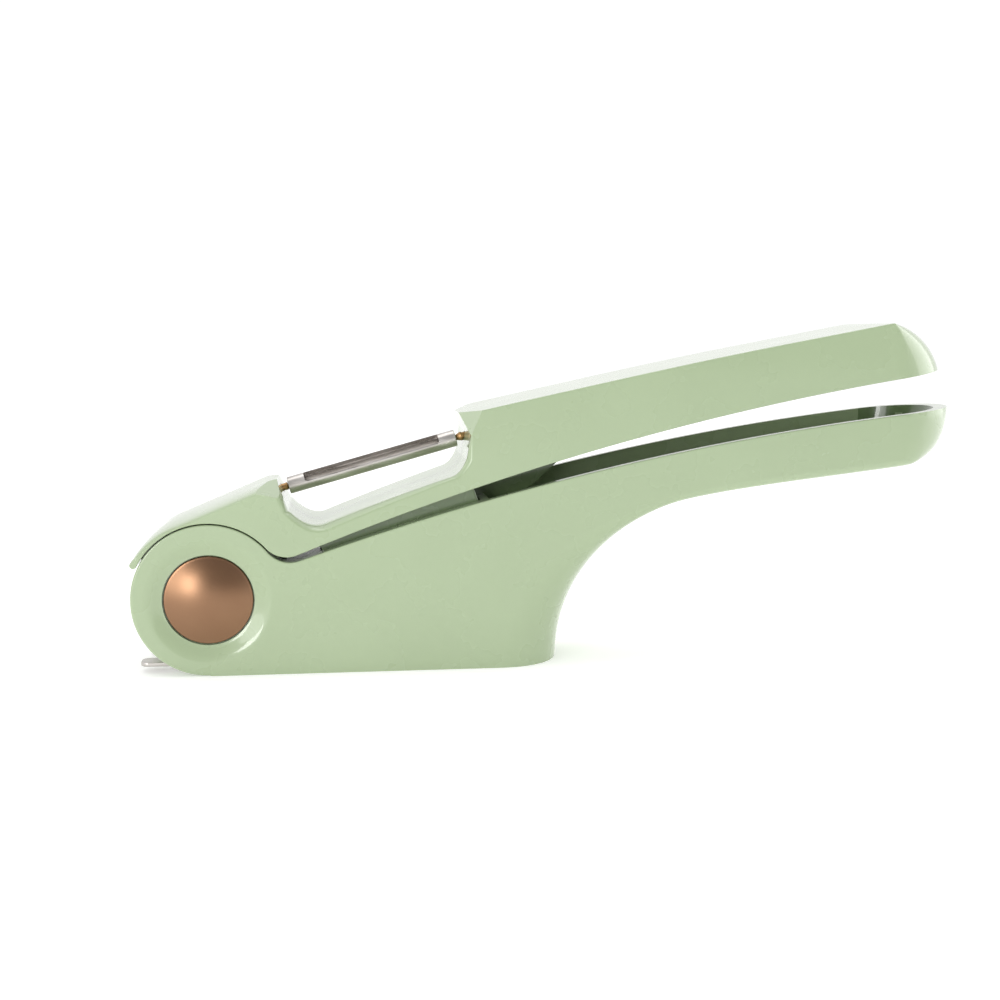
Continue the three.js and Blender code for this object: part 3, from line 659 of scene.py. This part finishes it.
def add_underside(outline):
    """The hood's inner circle, the knee and the parting line, out to the tip."""
    cheek = arc((0, 0), SEAM_RADIUS, HOOD_END, KNEE_AT_CHEEK, 60)
    knee = arc(KNEE, KNEE_RADIUS - TOUCH_GAP, KNEE_AT_CHEEK + math.pi, KNEE_TO_RIM, 20)
    end = rim_angle(LEVER_TIP_X, TOUCH_GAP)
    lower = arc(RIM_CENTRE, RIM_RADIUS + TOUCH_GAP, KNEE_TO_RIM - math.pi, end, 60)
    outline.run(cheek, SEAM_EDGE)
    outline.run(knee[1:], SEAM_EDGE)
    outline.run(lower[1:], SEAM_EDGE)
    return lower[-1]


def add_handle_top(outline, start):
    tip = bezier(start, LEVER_TIP_PULLS[1], LEVER_TIP_PULLS[0], GRIP_TOP[2], 28)
    top = spline([GRIP_TOP[2], GRIP_TOP[1], GRIP_TOP[0], RIGHT_WALL[2]], 16)
    outline.run(tip[1:], SEAM_EDGE, TOP_EDGE)
    outline.run(top[1:], TOP_EDGE, FACET_EDGE)


def add_notch(outline):
    """The notch for the blade: its rear wall, floor and front wall."""
    outline.run([RIGHT_WALL[1]], FACET_EDGE)
    outline.run([RIGHT_WALL[0]], WALL_EDGE)
    foot = quadratic(
        RIGHT_WALL[0],
        (NOTCH_FLOOR_END + 2.6, notch_floor(NOTCH_FLOOR_END + 2)),
        (NOTCH_FLOOR_END, notch_floor(NOTCH_FLOOR_END)),
        12,
    )
    outline.run(foot[1:], WALL_EDGE, FLOOR_END_EDGE)
    floor = [(x, notch_floor(x)) for x in np.linspace(NOTCH_FLOOR_END, NOTCH_FLOOR_START, 24)]
    outline.run(floor[1:], FLOOR_END_EDGE, FLOOR_EDGE)
    heel = quadratic(
        (NOTCH_FLOOR_START, notch_floor(NOTCH_FLOOR_START)),
        (NOTCH_FLOOR_START - 4, notch_floor(NOTCH_FLOOR_START - 4)),
        LEFT_WALL_FOOT,
        14,
    )
    outline.run(heel[1:], FLOOR_EDGE, WALL_EDGE)


def add_hood(outline):
    """The front horn, the straight run down from it, the hood's circle and its rounded lip."""
    radius = SEAM_RADIUS + HOOD_THICKNESS
    outline.run([HORN_CORNER], HORN_EDGE)
    outline.run([HOOD_LINE_END], HORN_EDGE)
    turn = hood_tangent()
    high = np.array(HOOD_LINE_END)
    low = np.array([math.cos(turn), math.sin(turn)])
    line = [high * (1 - s) + s * radius * low for s in np.linspace(0, 1, 10)[1:]]
    outline.run(line, HORN_EDGE, HOOD_EDGE)
    outline.run(arc((0, 0), radius, turn, HOOD_END - 0.06, 50)[1:], HOOD_EDGE, HOOD_END_EDGE)
    lip = SEAM_RADIUS + HOOD_THICKNESS / 2
    lip_at = (lip * math.cos(HOOD_END), lip * math.sin(HOOD_END))
    outline.run(arc(lip_at, HOOD_THICKNESS / 2, HOOD_END, HOOD_END + math.pi, 12), SEAM_EDGE)


def lever_outline():
    outline = Outline()
    tip_start = add_underside(outline)
    add_handle_top(outline, tip_start)
    add_notch(outline)
    add_hood(outline)
    return outline


def lever_channel():
    """The hollow of the upper handle, open below."""
    drop = SHELL_WALL + 0.3
    tip_x = LEVER_TIP_X - SHELL_WALL
    outline = Outline()
    edge = (0.8, 0.8)
    outline.run([(LEVER_CHANNEL_X, 0), (tip_x, 0)], edge)
    tip = bezier(
        (tip_x, rim_height(tip_x)),
        (LEVER_TIP_PULLS[1][0] - drop, LEVER_TIP_PULLS[1][1] - drop),
        (LEVER_TIP_PULLS[0][0] - drop, LEVER_TIP_PULLS[0][1] - drop),
        (GRIP_TOP[2][0], GRIP_TOP[2][1] - drop),
        16,
    )
    outline.run(tip, edge)
    outline.run(
        [(GRIP_TOP[1][0], GRIP_TOP[1][1] - drop), (LEVER_CHANNEL_X, GRIP_TOP[0][1] - drop - 0.8)],
        edge,
    )
    return rounded_slab(outline, HALF_WIDTH - SHELL_WALL, tip=LEVER_TIP_X - HALF_WIDTH)


def corner_cut(along, inboard, inboard_half, down, side):
    """The corner cut off by a plane through two points on the outer face and one inboard."""
    foot = np.array([*down, side * HALF_WIDTH])
    one = foot + 1.4 * (np.array([*along, side * HALF_WIDTH]) - foot)
    other = foot + 1.4 * (np.array([*inboard, side * inboard_half]) - foot)
    away = np.cross(one - foot, other - foot)
    away *= np.sign(away[2]) * side * 12 / np.linalg.norm(away)
    return skin([np.array([foot, one, other]), np.array([foot, one, other]) + away])


def blade_frame(vertices):
    """From the blade's own frame, x along it, y up and z across, to the row frame in metres."""
    up = Vector((-BLADE_AXIS.z, 0, BLADE_AXIS.x))
    along, rise, near = np.array(BLADE_AXIS), np.array(up), np.array((0.0, -1.0, 0.0))
    x, y, z = np.array(vertices, float).T[:, :, None]
    return (np.array(BLADE_MIDDLE) + x * along + y * rise + z * near) * MM


def turned_along(profile, segments=48):
    """A solid turned about the blade's axis from [x, radius] points."""
    vertices, faces = turned([(radius, x) for x, radius in profile], segments)
    return vertices[:, [2, 1, 0]], faces


def pin_socket(direction):
    start = BLADE_HALF + (REAR_GAP if direction > 0 else FRONT_GAP) - SOCKET_MOUTH
    radius = PIN_SHAFT + TOUCH_GAP
    ends = [direction * start, direction * (start + SOCKET_MOUTH + SOCKET_DEPTH)]
    return turned_along([(ends[0], 0), (ends[0], radius), (ends[1], radius), (ends[1], 0)], 40)


def web_outline():
    inner = BARREL_RADIUS / 2
    outer = SEAM_RADIUS + HOOD_THICKNESS / 2
    end = HOOD_END - math.radians(4)
    return np.concatenate([arc((0, 0), outer, WEB_END, end, 64), arc((0, 0), inner, end, WEB_END, 48)])


def make_upper_handle():
    shape = rounded_slab(lever_outline(), HALF_WIDTH, tip=LEVER_TIP_X - HALF_WIDTH)
    lever = make_object("lever_casting", shape, lever_place)
    cut(lever, lever_place, [
        lever_channel(),
        corner_cut(RIGHT_FACET, RIGHT_WALL[2], HORN_FACET, RIGHT_WALL[1], 1),
        corner_cut(RIGHT_FACET, RIGHT_WALL[2], HORN_FACET, RIGHT_WALL[1], -1),
        corner_cut(FRONT_FACET, HORN_CORNER, HORN_FACET, FRONT_FACET_FOOT, 1),
        corner_cut(FRONT_FACET, HORN_CORNER, HORN_FACET, FRONT_FACET_FOOT, -1),
    ])
    join(lever, lever_place, [
        slab(web_outline(), CHEEK_INNER - SIDE_GAP),
        roller(BARREL_RADIUS, -BARREL_HALF, BARREL_HALF),
    ])
    cut(lever, lever_place, [
        roller(WASHER_RADIUS + 1, BARREL_HALF, HALF_WIDTH),
        roller(WASHER_RADIUS + 1, -HALF_WIDTH, -BARREL_HALF),
        roller(BUSH_RADIUS + TOUCH_GAP, -HALF_WIDTH, HALF_WIDTH, 64),
    ])
    cut(lever, blade_frame, [pin_socket(1), pin_socket(-1)])
    smooth(lever)
    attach(lever, "lever")
    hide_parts("upper_handle")
    return lever


# ---------------------------------------------------------------- plunger

PLUNGER_FRONT = CHAMBER_FRONT + SIDE_GAP
PLUNGER_REAR = CHAMBER_REAR - SIDE_GAP
PLUNGER_HALF = CHEEK_INNER - SIDE_GAP


def where_above_rim(point_at, low, high):
    """Where a curve that starts below the parting line crosses it."""
    for _ in range(40):
        middle = (low + high) / 2
        x, y = point_at(middle)
        if y < rim_height(x):
            low = middle
        else:
            high = middle
    return low


def on_circle(radius):
    return lambda turn: (radius * math.cos(turn), radius * math.sin(turn))


def ring_sector(front, rear, floor, edge):
    """Between two arcs about the hinge, above a floor and below the parting line."""
    outline = Outline()
    rear_top = where_above_rim(on_circle(rear), 0, 1.2)
    front_top = where_above_rim(on_circle(front), 0, 1.2)
    outline.run([(math.sqrt(front**2 - floor**2), floor), (math.sqrt(rear**2 - floor**2), floor)], edge)
    outline.run(arc((0, 0), rear, math.asin(floor / rear), rear_top, 24)[1:], edge)
    rear_x, front_x = on_circle(rear)(rear_top)[0], on_circle(front)(front_top)[0]
    rim_points = [from_rim(x, 0) for x in np.linspace(rear_x, front_x, 20)]
    outline.run(rim_points[1:], (0.2, 0.2))
    outline.run(arc((0, 0), front, front_top, math.asin(floor / front), 20)[1:], edge)
    return outline


def gusset_outline():
    foot = PLUNGER_REAR - PLUNGER_WALL - 1
    end = where_above_rim(lambda x: (x, gusset_height(x)), foot, GUSSET_TOP[0] + 10)
    outline = Outline()
    outline.run([(foot, gusset_height(foot)), (end, gusset_height(end))], (0.3, 0.3))
    outline.run([from_rim(x, 0) for x in np.linspace(end, foot, 12)][1:], (0.1, 0.1))
    return outline


def make_plunger():
    face, wall = SIEVE_TOP + PRESS_GAP, PLUNGER_WALL
    block_shape = ring_sector(PLUNGER_FRONT, PLUNGER_REAR, face, (0.6, 0.6))
    plunger = make_object("plunger_block", rounded_slab(block_shape, PLUNGER_HALF), lever_place)
    hollow = ring_sector(PLUNGER_FRONT + wall, PLUNGER_REAR - wall, face + PLUNGER_FACE, (0.5, 0.5))
    lift = slab(hollow.arrays()[0] + np.array([0, 4.0]), PLUNGER_HALF - wall)
    cut(plunger, lever_place, [rounded_slab(hollow, PLUNGER_HALF - wall), lift])
    join(plunger, lever_place, [rounded_slab(gusset_outline(), GUSSET_HALF, steps=3, middle=2)])
    smooth(plunger)
    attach(plunger, "lever")
    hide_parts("plunger")
    return plunger


# ---------------------------------------------------------------- sieve

def sieve_outline():
    """The plate from above: two tabs run forward past the hinge."""
    half = PLUNGER_HALF
    inner = half - SIEVE_TAB_WIDTH
    front, rear = SIEVE_LOW.x + SIEVE_CORNER, SIEVE_HIGH.x - SIEVE_CORNER
    edge = (0.15, 0.15)
    outline = Outline()
    for x, z, start in (
        (rear, SIEVE_CORNER - half, -0.5),
        (rear, half - SIEVE_CORNER, 0),
        (front, half - SIEVE_CORNER, 0.5),
        (front, inner + SIEVE_CORNER, 1),
    ):
        outline.run(arc((x, z), SIEVE_CORNER, start * math.pi, (start + 0.5) * math.pi, 10), edge)
    outline.run([(SIEVE_FRONT - 1, inner), (SIEVE_FRONT, inner - 1)], edge)
    outline.run([(SIEVE_FRONT, 1 - inner), (SIEVE_FRONT - 1, -inner)], edge)
    for z, start in ((-inner - SIEVE_CORNER, 0.5), (SIEVE_CORNER - half, 1)):
        outline.run(arc((front, z), SIEVE_CORNER, start * math.pi, (start + 0.5) * math.pi, 10), edge)
    return outline


def sieve_holes():
    """Rows of holes over the outlet, every other row shifted by half a pitch."""
    row_pitch = SIEVE_PITCH * math.sin(math.pi / 3)
    reach = OUTLET_REAR - OUTLET_FRONT - 2 * (SIEVE_HOLE + HOLE_MARGIN)
    across = 2 * (OUTLET_HALF - SIEVE_HOLE - HOLE_MARGIN)
    rows = math.floor(reach / row_pitch) + 1
    full = math.floor(across / SIEVE_PITCH) + 1
    places = []
    for row in range(rows):
        x = (OUTLET_FRONT + OUTLET_REAR) / 2 + (row - (rows - 1) / 2) * row_pitch
        count = full - row % 2
        places += [(x, (k - (count - 1) / 2) * SIEVE_PITCH) for k in range(count)]
    return places


def hole_tools(half):
    """All the holes as one set of pegs, each widened a little at both faces of the plate."""
    lip, past = 0.15, 0.3
    wide = SIEVE_HOLE + lip
    side = [(SIEVE_HOLE, half - lip), (wide, half), (wide, half + past), (0, half + past)]
    profile = [(r, -z) for r, z in side[::-1]] + side
    peg, peg_faces = turned(profile, 24)
    vertices, faces = [], []
    for k, (x, z) in enumerate(sieve_holes()):
        vertices.append(peg + np.array([x, z, 0]))
        faces += [tuple(j + k * len(peg) for j in face) for face in peg_faces]
    return np.concatenate(vertices), faces


def make_sieve():
    middle = (SIEVE_LOW.z + SIEVE_HIGH.z) / 2
    half = (SIEVE_HIGH.z - SIEVE_LOW.z) / 2

    def flat_place(vertices):
        return closed_place(vertices[:, [0, 2, 1]] + np.array([0, middle, 0]))

    sieve = make_object("sieve", rounded_slab(sieve_outline(), half, steps=3, middle=2), flat_place)
    cut(sieve, flat_place, [hole_tools(half)])
    smooth(sieve)
    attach(sieve, "sieve")
    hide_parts("sieve_plate")
    return sieve


# ---------------------------------------------------------------- peeler blade and its pins

def blade_rest_frame(vertices):
    """The blade's frame, turned to where the blade hangs at rest."""
    x, y, z = np.array(vertices, float).T
    c, s = math.cos(BLADE_REST), math.sin(BLADE_REST)
    return blade_frame(np.stack([x, y * c - z * s, y * s + z * c], 1))


def blade_slot():
    """The slot's cutter, with rounded ends, from the axis out through one side of the tube."""
    corner = 0.7
    x, z = BLADE_SLOT_HALF_LENGTH - corner, BLADE_SLOT_HALF - corner
    corners = [(x, -z, -0.5), (x, z, 0), (-x, z, 0.5), (-x, -z, 1)]
    turns = [arc((a, b), corner, q * math.pi, (q + 0.5) * math.pi, 6) for a, b, q in corners]
    vertices, faces = slab(np.concatenate(turns), BLADE_RADIUS, BLADE_RADIUS)
    return vertices[:, [0, 2, 1]], faces


def make_blade():
    end, bevel = BLADE_HALF, 0.2
    ring = [(end, BLADE_BORE), (end, BLADE_RADIUS - bevel)]
    ring += [
        (end - bevel + bevel * math.cos(t), BLADE_RADIUS - bevel + bevel * math.sin(t))
        for t in np.linspace(0, math.pi / 2, 5)[1:]
    ]
    profile = ring + [(-x, radius) for x, radius in ring[::-1]]
    blade = make_object("blade", turned_along(profile, 96), blade_rest_frame)
    cut(blade, blade_rest_frame, [blade_slot()])
    smooth(blade, 32, bevel=0.06)
    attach(blade, "blade")
    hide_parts("peeler_blade")
    return blade


def make_pin(name, node, direction, gap):
    """A stepped pin: a shank in the blade, a cone that widens to the horn and a root inside it."""
    horn = BLADE_HALF + gap
    root = horn + SOCKET_DEPTH - TOUCH_GAP - 0.5
    waist = 0.75 * PIN_SHAFT
    cone = [
        (BLADE_HALF - PIN_REACH, 0),
        (BLADE_HALF - PIN_REACH, PIN_SHAFT - 0.15),
        (BLADE_HALF - PIN_REACH + 0.15, PIN_SHAFT),
        (BLADE_HALF - 0.1, PIN_SHAFT),
        (BLADE_HALF + 0.1, waist),
        (horn - 2 * TOUCH_GAP, PIN_SHAFT + 0.13 * gap),
        (horn, PIN_SHAFT),
        (root, PIN_SHAFT),
        (root, 0),
    ]
    pin = make_object(name, turned_along([(direction * x, radius) for x, radius in cone], 48), blade_frame)
    smooth(pin, 30)
    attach(pin, "lever")
    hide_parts(node)
    return pin


# ---------------------------------------------------------------- caps

def make_cap(name, node, side):
    """A thin domed cap with a small rolled rim."""
    seat = HALF_WIDTH - CAP_RECESS + TOUCH_GAP
    wall, rise, bead = 0.8, 1.8, 0.35
    profile = [(0, seat + 0.1 + rise)]
    dome = []
    for k in range(25):
        share = k / 24
        dome.append((share * (CAP_RADIUS - bead), seat + wall + rise * (1 - share**2)))
    edge = []
    for k in range(1, 9):
        turn = math.pi / 2 * (1 - k / 8)
        edge.append((CAP_RADIUS - bead + bead * math.cos(turn), seat + wall - bead + bead * math.sin(turn)))
    inside = [(CAP_RADIUS, seat), (CAP_RADIUS - wall, seat)]
    for k in range(11, 0, -1):
        share = k / 12
        inside.append((share * (CAP_RADIUS - wall), seat + 0.1 + rise * (1 - share**2)))
    section = [(r, side * z) for r, z in profile + dome + edge + inside]
    cap = make_object(name, turned(section, 128), closed_place)
    smooth(cap, 40)
    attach(cap, "body")
    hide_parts(node)
    return cap


# ---------------------------------------------------------------- materials

FINE_BUMP = 0.0001


def srgb(red, green, blue):
    """A colour from its 8-bit values."""
    def linear(value):
        value /= 255
        return value / 12.92 if value <= 0.04045 else ((value + 0.055) / 1.055) ** 2.4
    return (linear(red), linear(green), linear(blue), 1.0)


def new_material(name):
    material = bpy.data.materials.new(name)
    material.use_nodes = True
    nodes = material.node_tree.nodes
    return material, nodes, material.node_tree.links, nodes["Principled BSDF"]


def noise(nodes, links, scale, detail=2.0, roughness=0.5):
    """Noise in object space, with scale in features per metre."""
    place = nodes.new("ShaderNodeTexCoord")
    texture = nodes.new("ShaderNodeTexNoise")
    texture.inputs["Scale"].default_value = scale
    texture.inputs["Detail"].default_value = detail
    texture.inputs["Roughness"].default_value = roughness
    links.new(place.outputs["Object"], texture.inputs["Vector"])
    return texture.outputs["Fac"]


def mix_colour(nodes, links, factor, low, high, start=0.35, end=0.65):
    ramp = nodes.new("ShaderNodeValToRGB")
    ramp.color_ramp.elements[0].position = start
    ramp.color_ramp.elements[0].color = low
    ramp.color_ramp.elements[1].position = end
    ramp.color_ramp.elements[1].color = high
    links.new(factor, ramp.inputs["Fac"])
    return ramp.outputs["Color"]


def map_range(nodes, links, value, low, high):
    mapped = nodes.new("ShaderNodeMapRange")
    mapped.inputs["From Min"].default_value = 0.3
    mapped.inputs["From Max"].default_value = 0.7
    mapped.inputs["To Min"].default_value = low
    mapped.inputs["To Max"].default_value = high
    links.new(value, mapped.inputs["Value"])
    return mapped.outputs["Result"]


def add_bump(nodes, links, shader, height, strength, distance):
    bump = nodes.new("ShaderNodeBump")
    bump.inputs["Strength"].default_value = strength
    bump.inputs["Distance"].default_value = distance
    links.new(height, bump.inputs["Height"])
    links.new(bump.outputs["Normal"], shader.inputs["Normal"])


def enamel(name, low, high):
    """Gloss enamel: a slow drift of tone, a slow wave in the gloss and a fine orange peel."""
    material, nodes, links, shader = new_material(name)
    tone = mix_colour(nodes, links, noise(nodes, links, 40, 1), low, high, 0.2, 0.8)
    links.new(tone, shader.inputs["Base Color"])
    links.new(map_range(nodes, links, noise(nodes, links, 90, 3), 0.24, 0.32), shader.inputs["Roughness"])
    shader.inputs["IOR"].default_value = 1.5
    shader.inputs["Coat Weight"].default_value = 0.8
    shader.inputs["Coat Roughness"].default_value = 0.06
    add_bump(nodes, links, shader, noise(nodes, links, 700, 2), 0.03, FINE_BUMP)
    return material


def metal(name, low, high, roughness, scale, stretch=(1, 1, 1)):
    """Metal with a brushed or cast tone: noise stretched along one axis."""
    material, nodes, links, shader = new_material(name)
    place = nodes.new("ShaderNodeTexCoord")
    mapping = nodes.new("ShaderNodeMapping")
    mapping.inputs["Scale"].default_value = stretch
    texture = nodes.new("ShaderNodeTexNoise")
    texture.inputs["Scale"].default_value = scale
    texture.inputs["Detail"].default_value = 4
    links.new(place.outputs["Object"], mapping.inputs["Vector"])
    links.new(mapping.outputs["Vector"], texture.inputs["Vector"])
    value = texture.outputs["Fac"]
    links.new(mix_colour(nodes, links, value, low, high), shader.inputs["Base Color"])
    links.new(map_range(nodes, links, value, *roughness), shader.inputs["Roughness"])
    shader.inputs["Metallic"].default_value = 1.0
    add_bump(nodes, links, shader, value, 0.04, FINE_BUMP)
    return material


def nylon(name):
    material, nodes, links, shader = new_material(name)
    tone = noise(nodes, links, 300, 3)
    colour = mix_colour(nodes, links, tone, srgb(222, 219, 208), srgb(236, 234, 226))
    links.new(colour, shader.inputs["Base Color"])
    links.new(map_range(nodes, links, tone, 0.45, 0.6), shader.inputs["Roughness"])
    shader.inputs["Subsurface Weight"].default_value = 0.15
    shader.inputs["Subsurface Scale"].default_value = 0.001
    add_bump(nodes, links, shader, noise(nodes, links, 2500, 2), 0.1, FINE_BUMP)
    return material


def give(obj, material):
    obj.data.materials.clear()
    obj.data.materials.append(material)


def give_painted_shade_inside(obj, material, core):
    """A second material, a darker copy of the enamel as painted shade, on the walls of a hollow: the faces
    that lie on the core that cut it.
    """
    obj.data.materials.append(material)
    for face in obj.data.polygons:
        if core.find_nearest(face.center)[3] < ON_SURFACE:
            face.material_index = 1


# ---------------------------------------------------------------- studio

ROOM_FRONT = 0.5
ROOM_BACK = 1.05
FLOOR_GLOW = 0.3


def area_light(name, location, target, size, power):
    light = bpy.data.lights.new(name, "AREA")
    light.shape = "RECTANGLE"
    light.size, light.size_y = size
    light.energy = power
    obj = bpy.data.objects.new(name, light)
    obj.location = location
    obj.rotation_mode = "QUATERNION"
    obj.rotation_quaternion = (Vector(target) - Vector(location)).to_track_quat("-Z", "Y")
    bpy.context.scene.collection.objects.link(obj)


def make_floor():
    """A pale flat floor."""
    half = 3.0
    mesh = bpy.data.meshes.new("floor")
    corners = [(-half, -half, 0.0), (half, -half, 0.0), (-half, half, 0.0), (half, half, 0.0)]
    mesh.from_pydata(corners, [], [(0, 1, 3, 2)])
    mesh.shade_smooth()
    floor = bpy.data.objects.new("floor", mesh)
    bpy.context.scene.collection.objects.link(floor)
    material, nodes, links, shader = new_material("floor_paper")
    tone = noise(nodes, links, 4, 2)
    colour = mix_colour(nodes, links, tone, (0.88, 0.88, 0.88, 1), (0.9, 0.9, 0.9, 1))
    links.new(colour, shader.inputs["Base Color"])
    shader.inputs["Roughness"].default_value = 0.9
    shader.inputs["Specular IOR Level"].default_value = 0.1
    shader.inputs["Emission Color"].default_value = (1, 1, 1, 1)
    shader.inputs["Emission Strength"].default_value = FLOOR_GLOW
    give(floor, material)


def make_world():
    """A white room, dimmer on the side that the front of the press faces."""
    world = bpy.data.worlds.new("studio")
    world.use_nodes = True
    nodes, links = world.node_tree.nodes, world.node_tree.links
    background = nodes["Background"]
    background.inputs["Color"].default_value = (1, 1, 1, 1)
    place = nodes.new("ShaderNodeTexCoord")
    split = nodes.new("ShaderNodeSeparateXYZ")
    fade = nodes.new("ShaderNodeMapRange")
    fade.interpolation_type = "SMOOTHSTEP"
    fade.inputs["From Min"].default_value = -0.8
    fade.inputs["From Max"].default_value = 0.3
    fade.inputs["To Min"].default_value = ROOM_FRONT
    fade.inputs["To Max"].default_value = ROOM_BACK
    links.new(place.outputs["Generated"], split.inputs["Vector"])
    links.new(split.outputs["Y"], fade.inputs["Value"])
    links.new(fade.outputs["Result"], background.inputs["Strength"])
    bpy.context.scene.world = world


def make_camera():
    """A 50 mm lens on a 36 mm sensor, at the photograph's height, distance and turn."""
    camera = bpy.data.cameras.new("camera")
    camera.lens, camera.sensor_width = 50, 36
    obj = bpy.data.objects.new("camera", camera)
    base = Vector((HINGE.x, 0, 0))
    obj.location = (base + Vector((29.5, -351.0, 81.8))) * MM
    obj.rotation_euler = (math.radians(90 - 6.77), 0, math.radians(-7.01))
    camera.clip_start, camera.clip_end = 0.01, 20
    bpy.context.scene.collection.objects.link(obj)
    bpy.context.scene.camera = obj


def make_lights():
    target = (-0.02, 0, 0.04)
    area_light("key_left", (-0.75, -0.75, 0.25), target, (0.45, 0.8), 3.6)
    area_light("low_left", (-0.385, -0.752, 0.09), (-0.086, 0, 0.02), (0.16, 0.24), 1.2)
    area_light("side_right", (0.95, 0.05, 0.3), target, (0.8, 0.9), 4)
    area_light("top", (-0.1, 0.1, 1.1), target, (1.0, 0.6), 3)


# ---------------------------------------------------------------- build

make_camera()
make_floor()
make_world()
make_lights()

bpy.context.scene.view_settings.view_transform = "Standard"

sage = enamel("sage_enamel", srgb(156, 173, 137), srgb(160, 177, 141))
# Painted shade: a darker copy of the sage enamel, standing in for the shadow in the handle's hollow and on
# the plunger
painted_shade_enamel = enamel("sage_painted_shade", srgb(104, 124, 86), srgb(112, 132, 92))
bronze = metal("cap_bronze", srgb(134, 102, 78), srgb(144, 112, 87), (0.26, 0.34), 40)
steel = metal("brushed_steel", srgb(176, 171, 166), srgb(205, 201, 197), (0.24, 0.4), 500, (0.08, 1, 1))
brassy = metal("pin_brass", srgb(160, 124, 82), srgb(180, 144, 102), (0.28, 0.4), 200)
plastic = nylon("bearing_nylon")

body_casting, handle_core = make_lower_body()
give(body_casting, sage)
# Painted shade on the walls of the handle's hollow
give_painted_shade_inside(body_casting, painted_shade_enamel, handle_core)
give(make_upper_handle(), sage)
# The plunger is the same sage enamel; the darker copy on it is painted shade
give(make_plunger(), painted_shade_enamel)
give(make_sieve(), steel)
give(make_blade(), steel)
give(make_pin("front_pin", "blade_pin_front", -1, FRONT_GAP), brassy)
give(make_pin("rear_pin", "blade_pin_rear", 1, REAR_GAP), brassy)
give(make_cap("near_cap", "hinge_cap_near", 1), bronze)
give(make_cap("far_cap", "hinge_cap_far", -1), bronze)

for node_name, material in {
    "hinge_pin": steel,
    "hinge_screw": steel,
    "hub_bush_near": plastic,
    "hub_bush_far": plastic,
    "thrust_washer_near": plastic,
    "thrust_washer_far": plastic,
}.items():
    give(frame["nodes"][node_name], material)
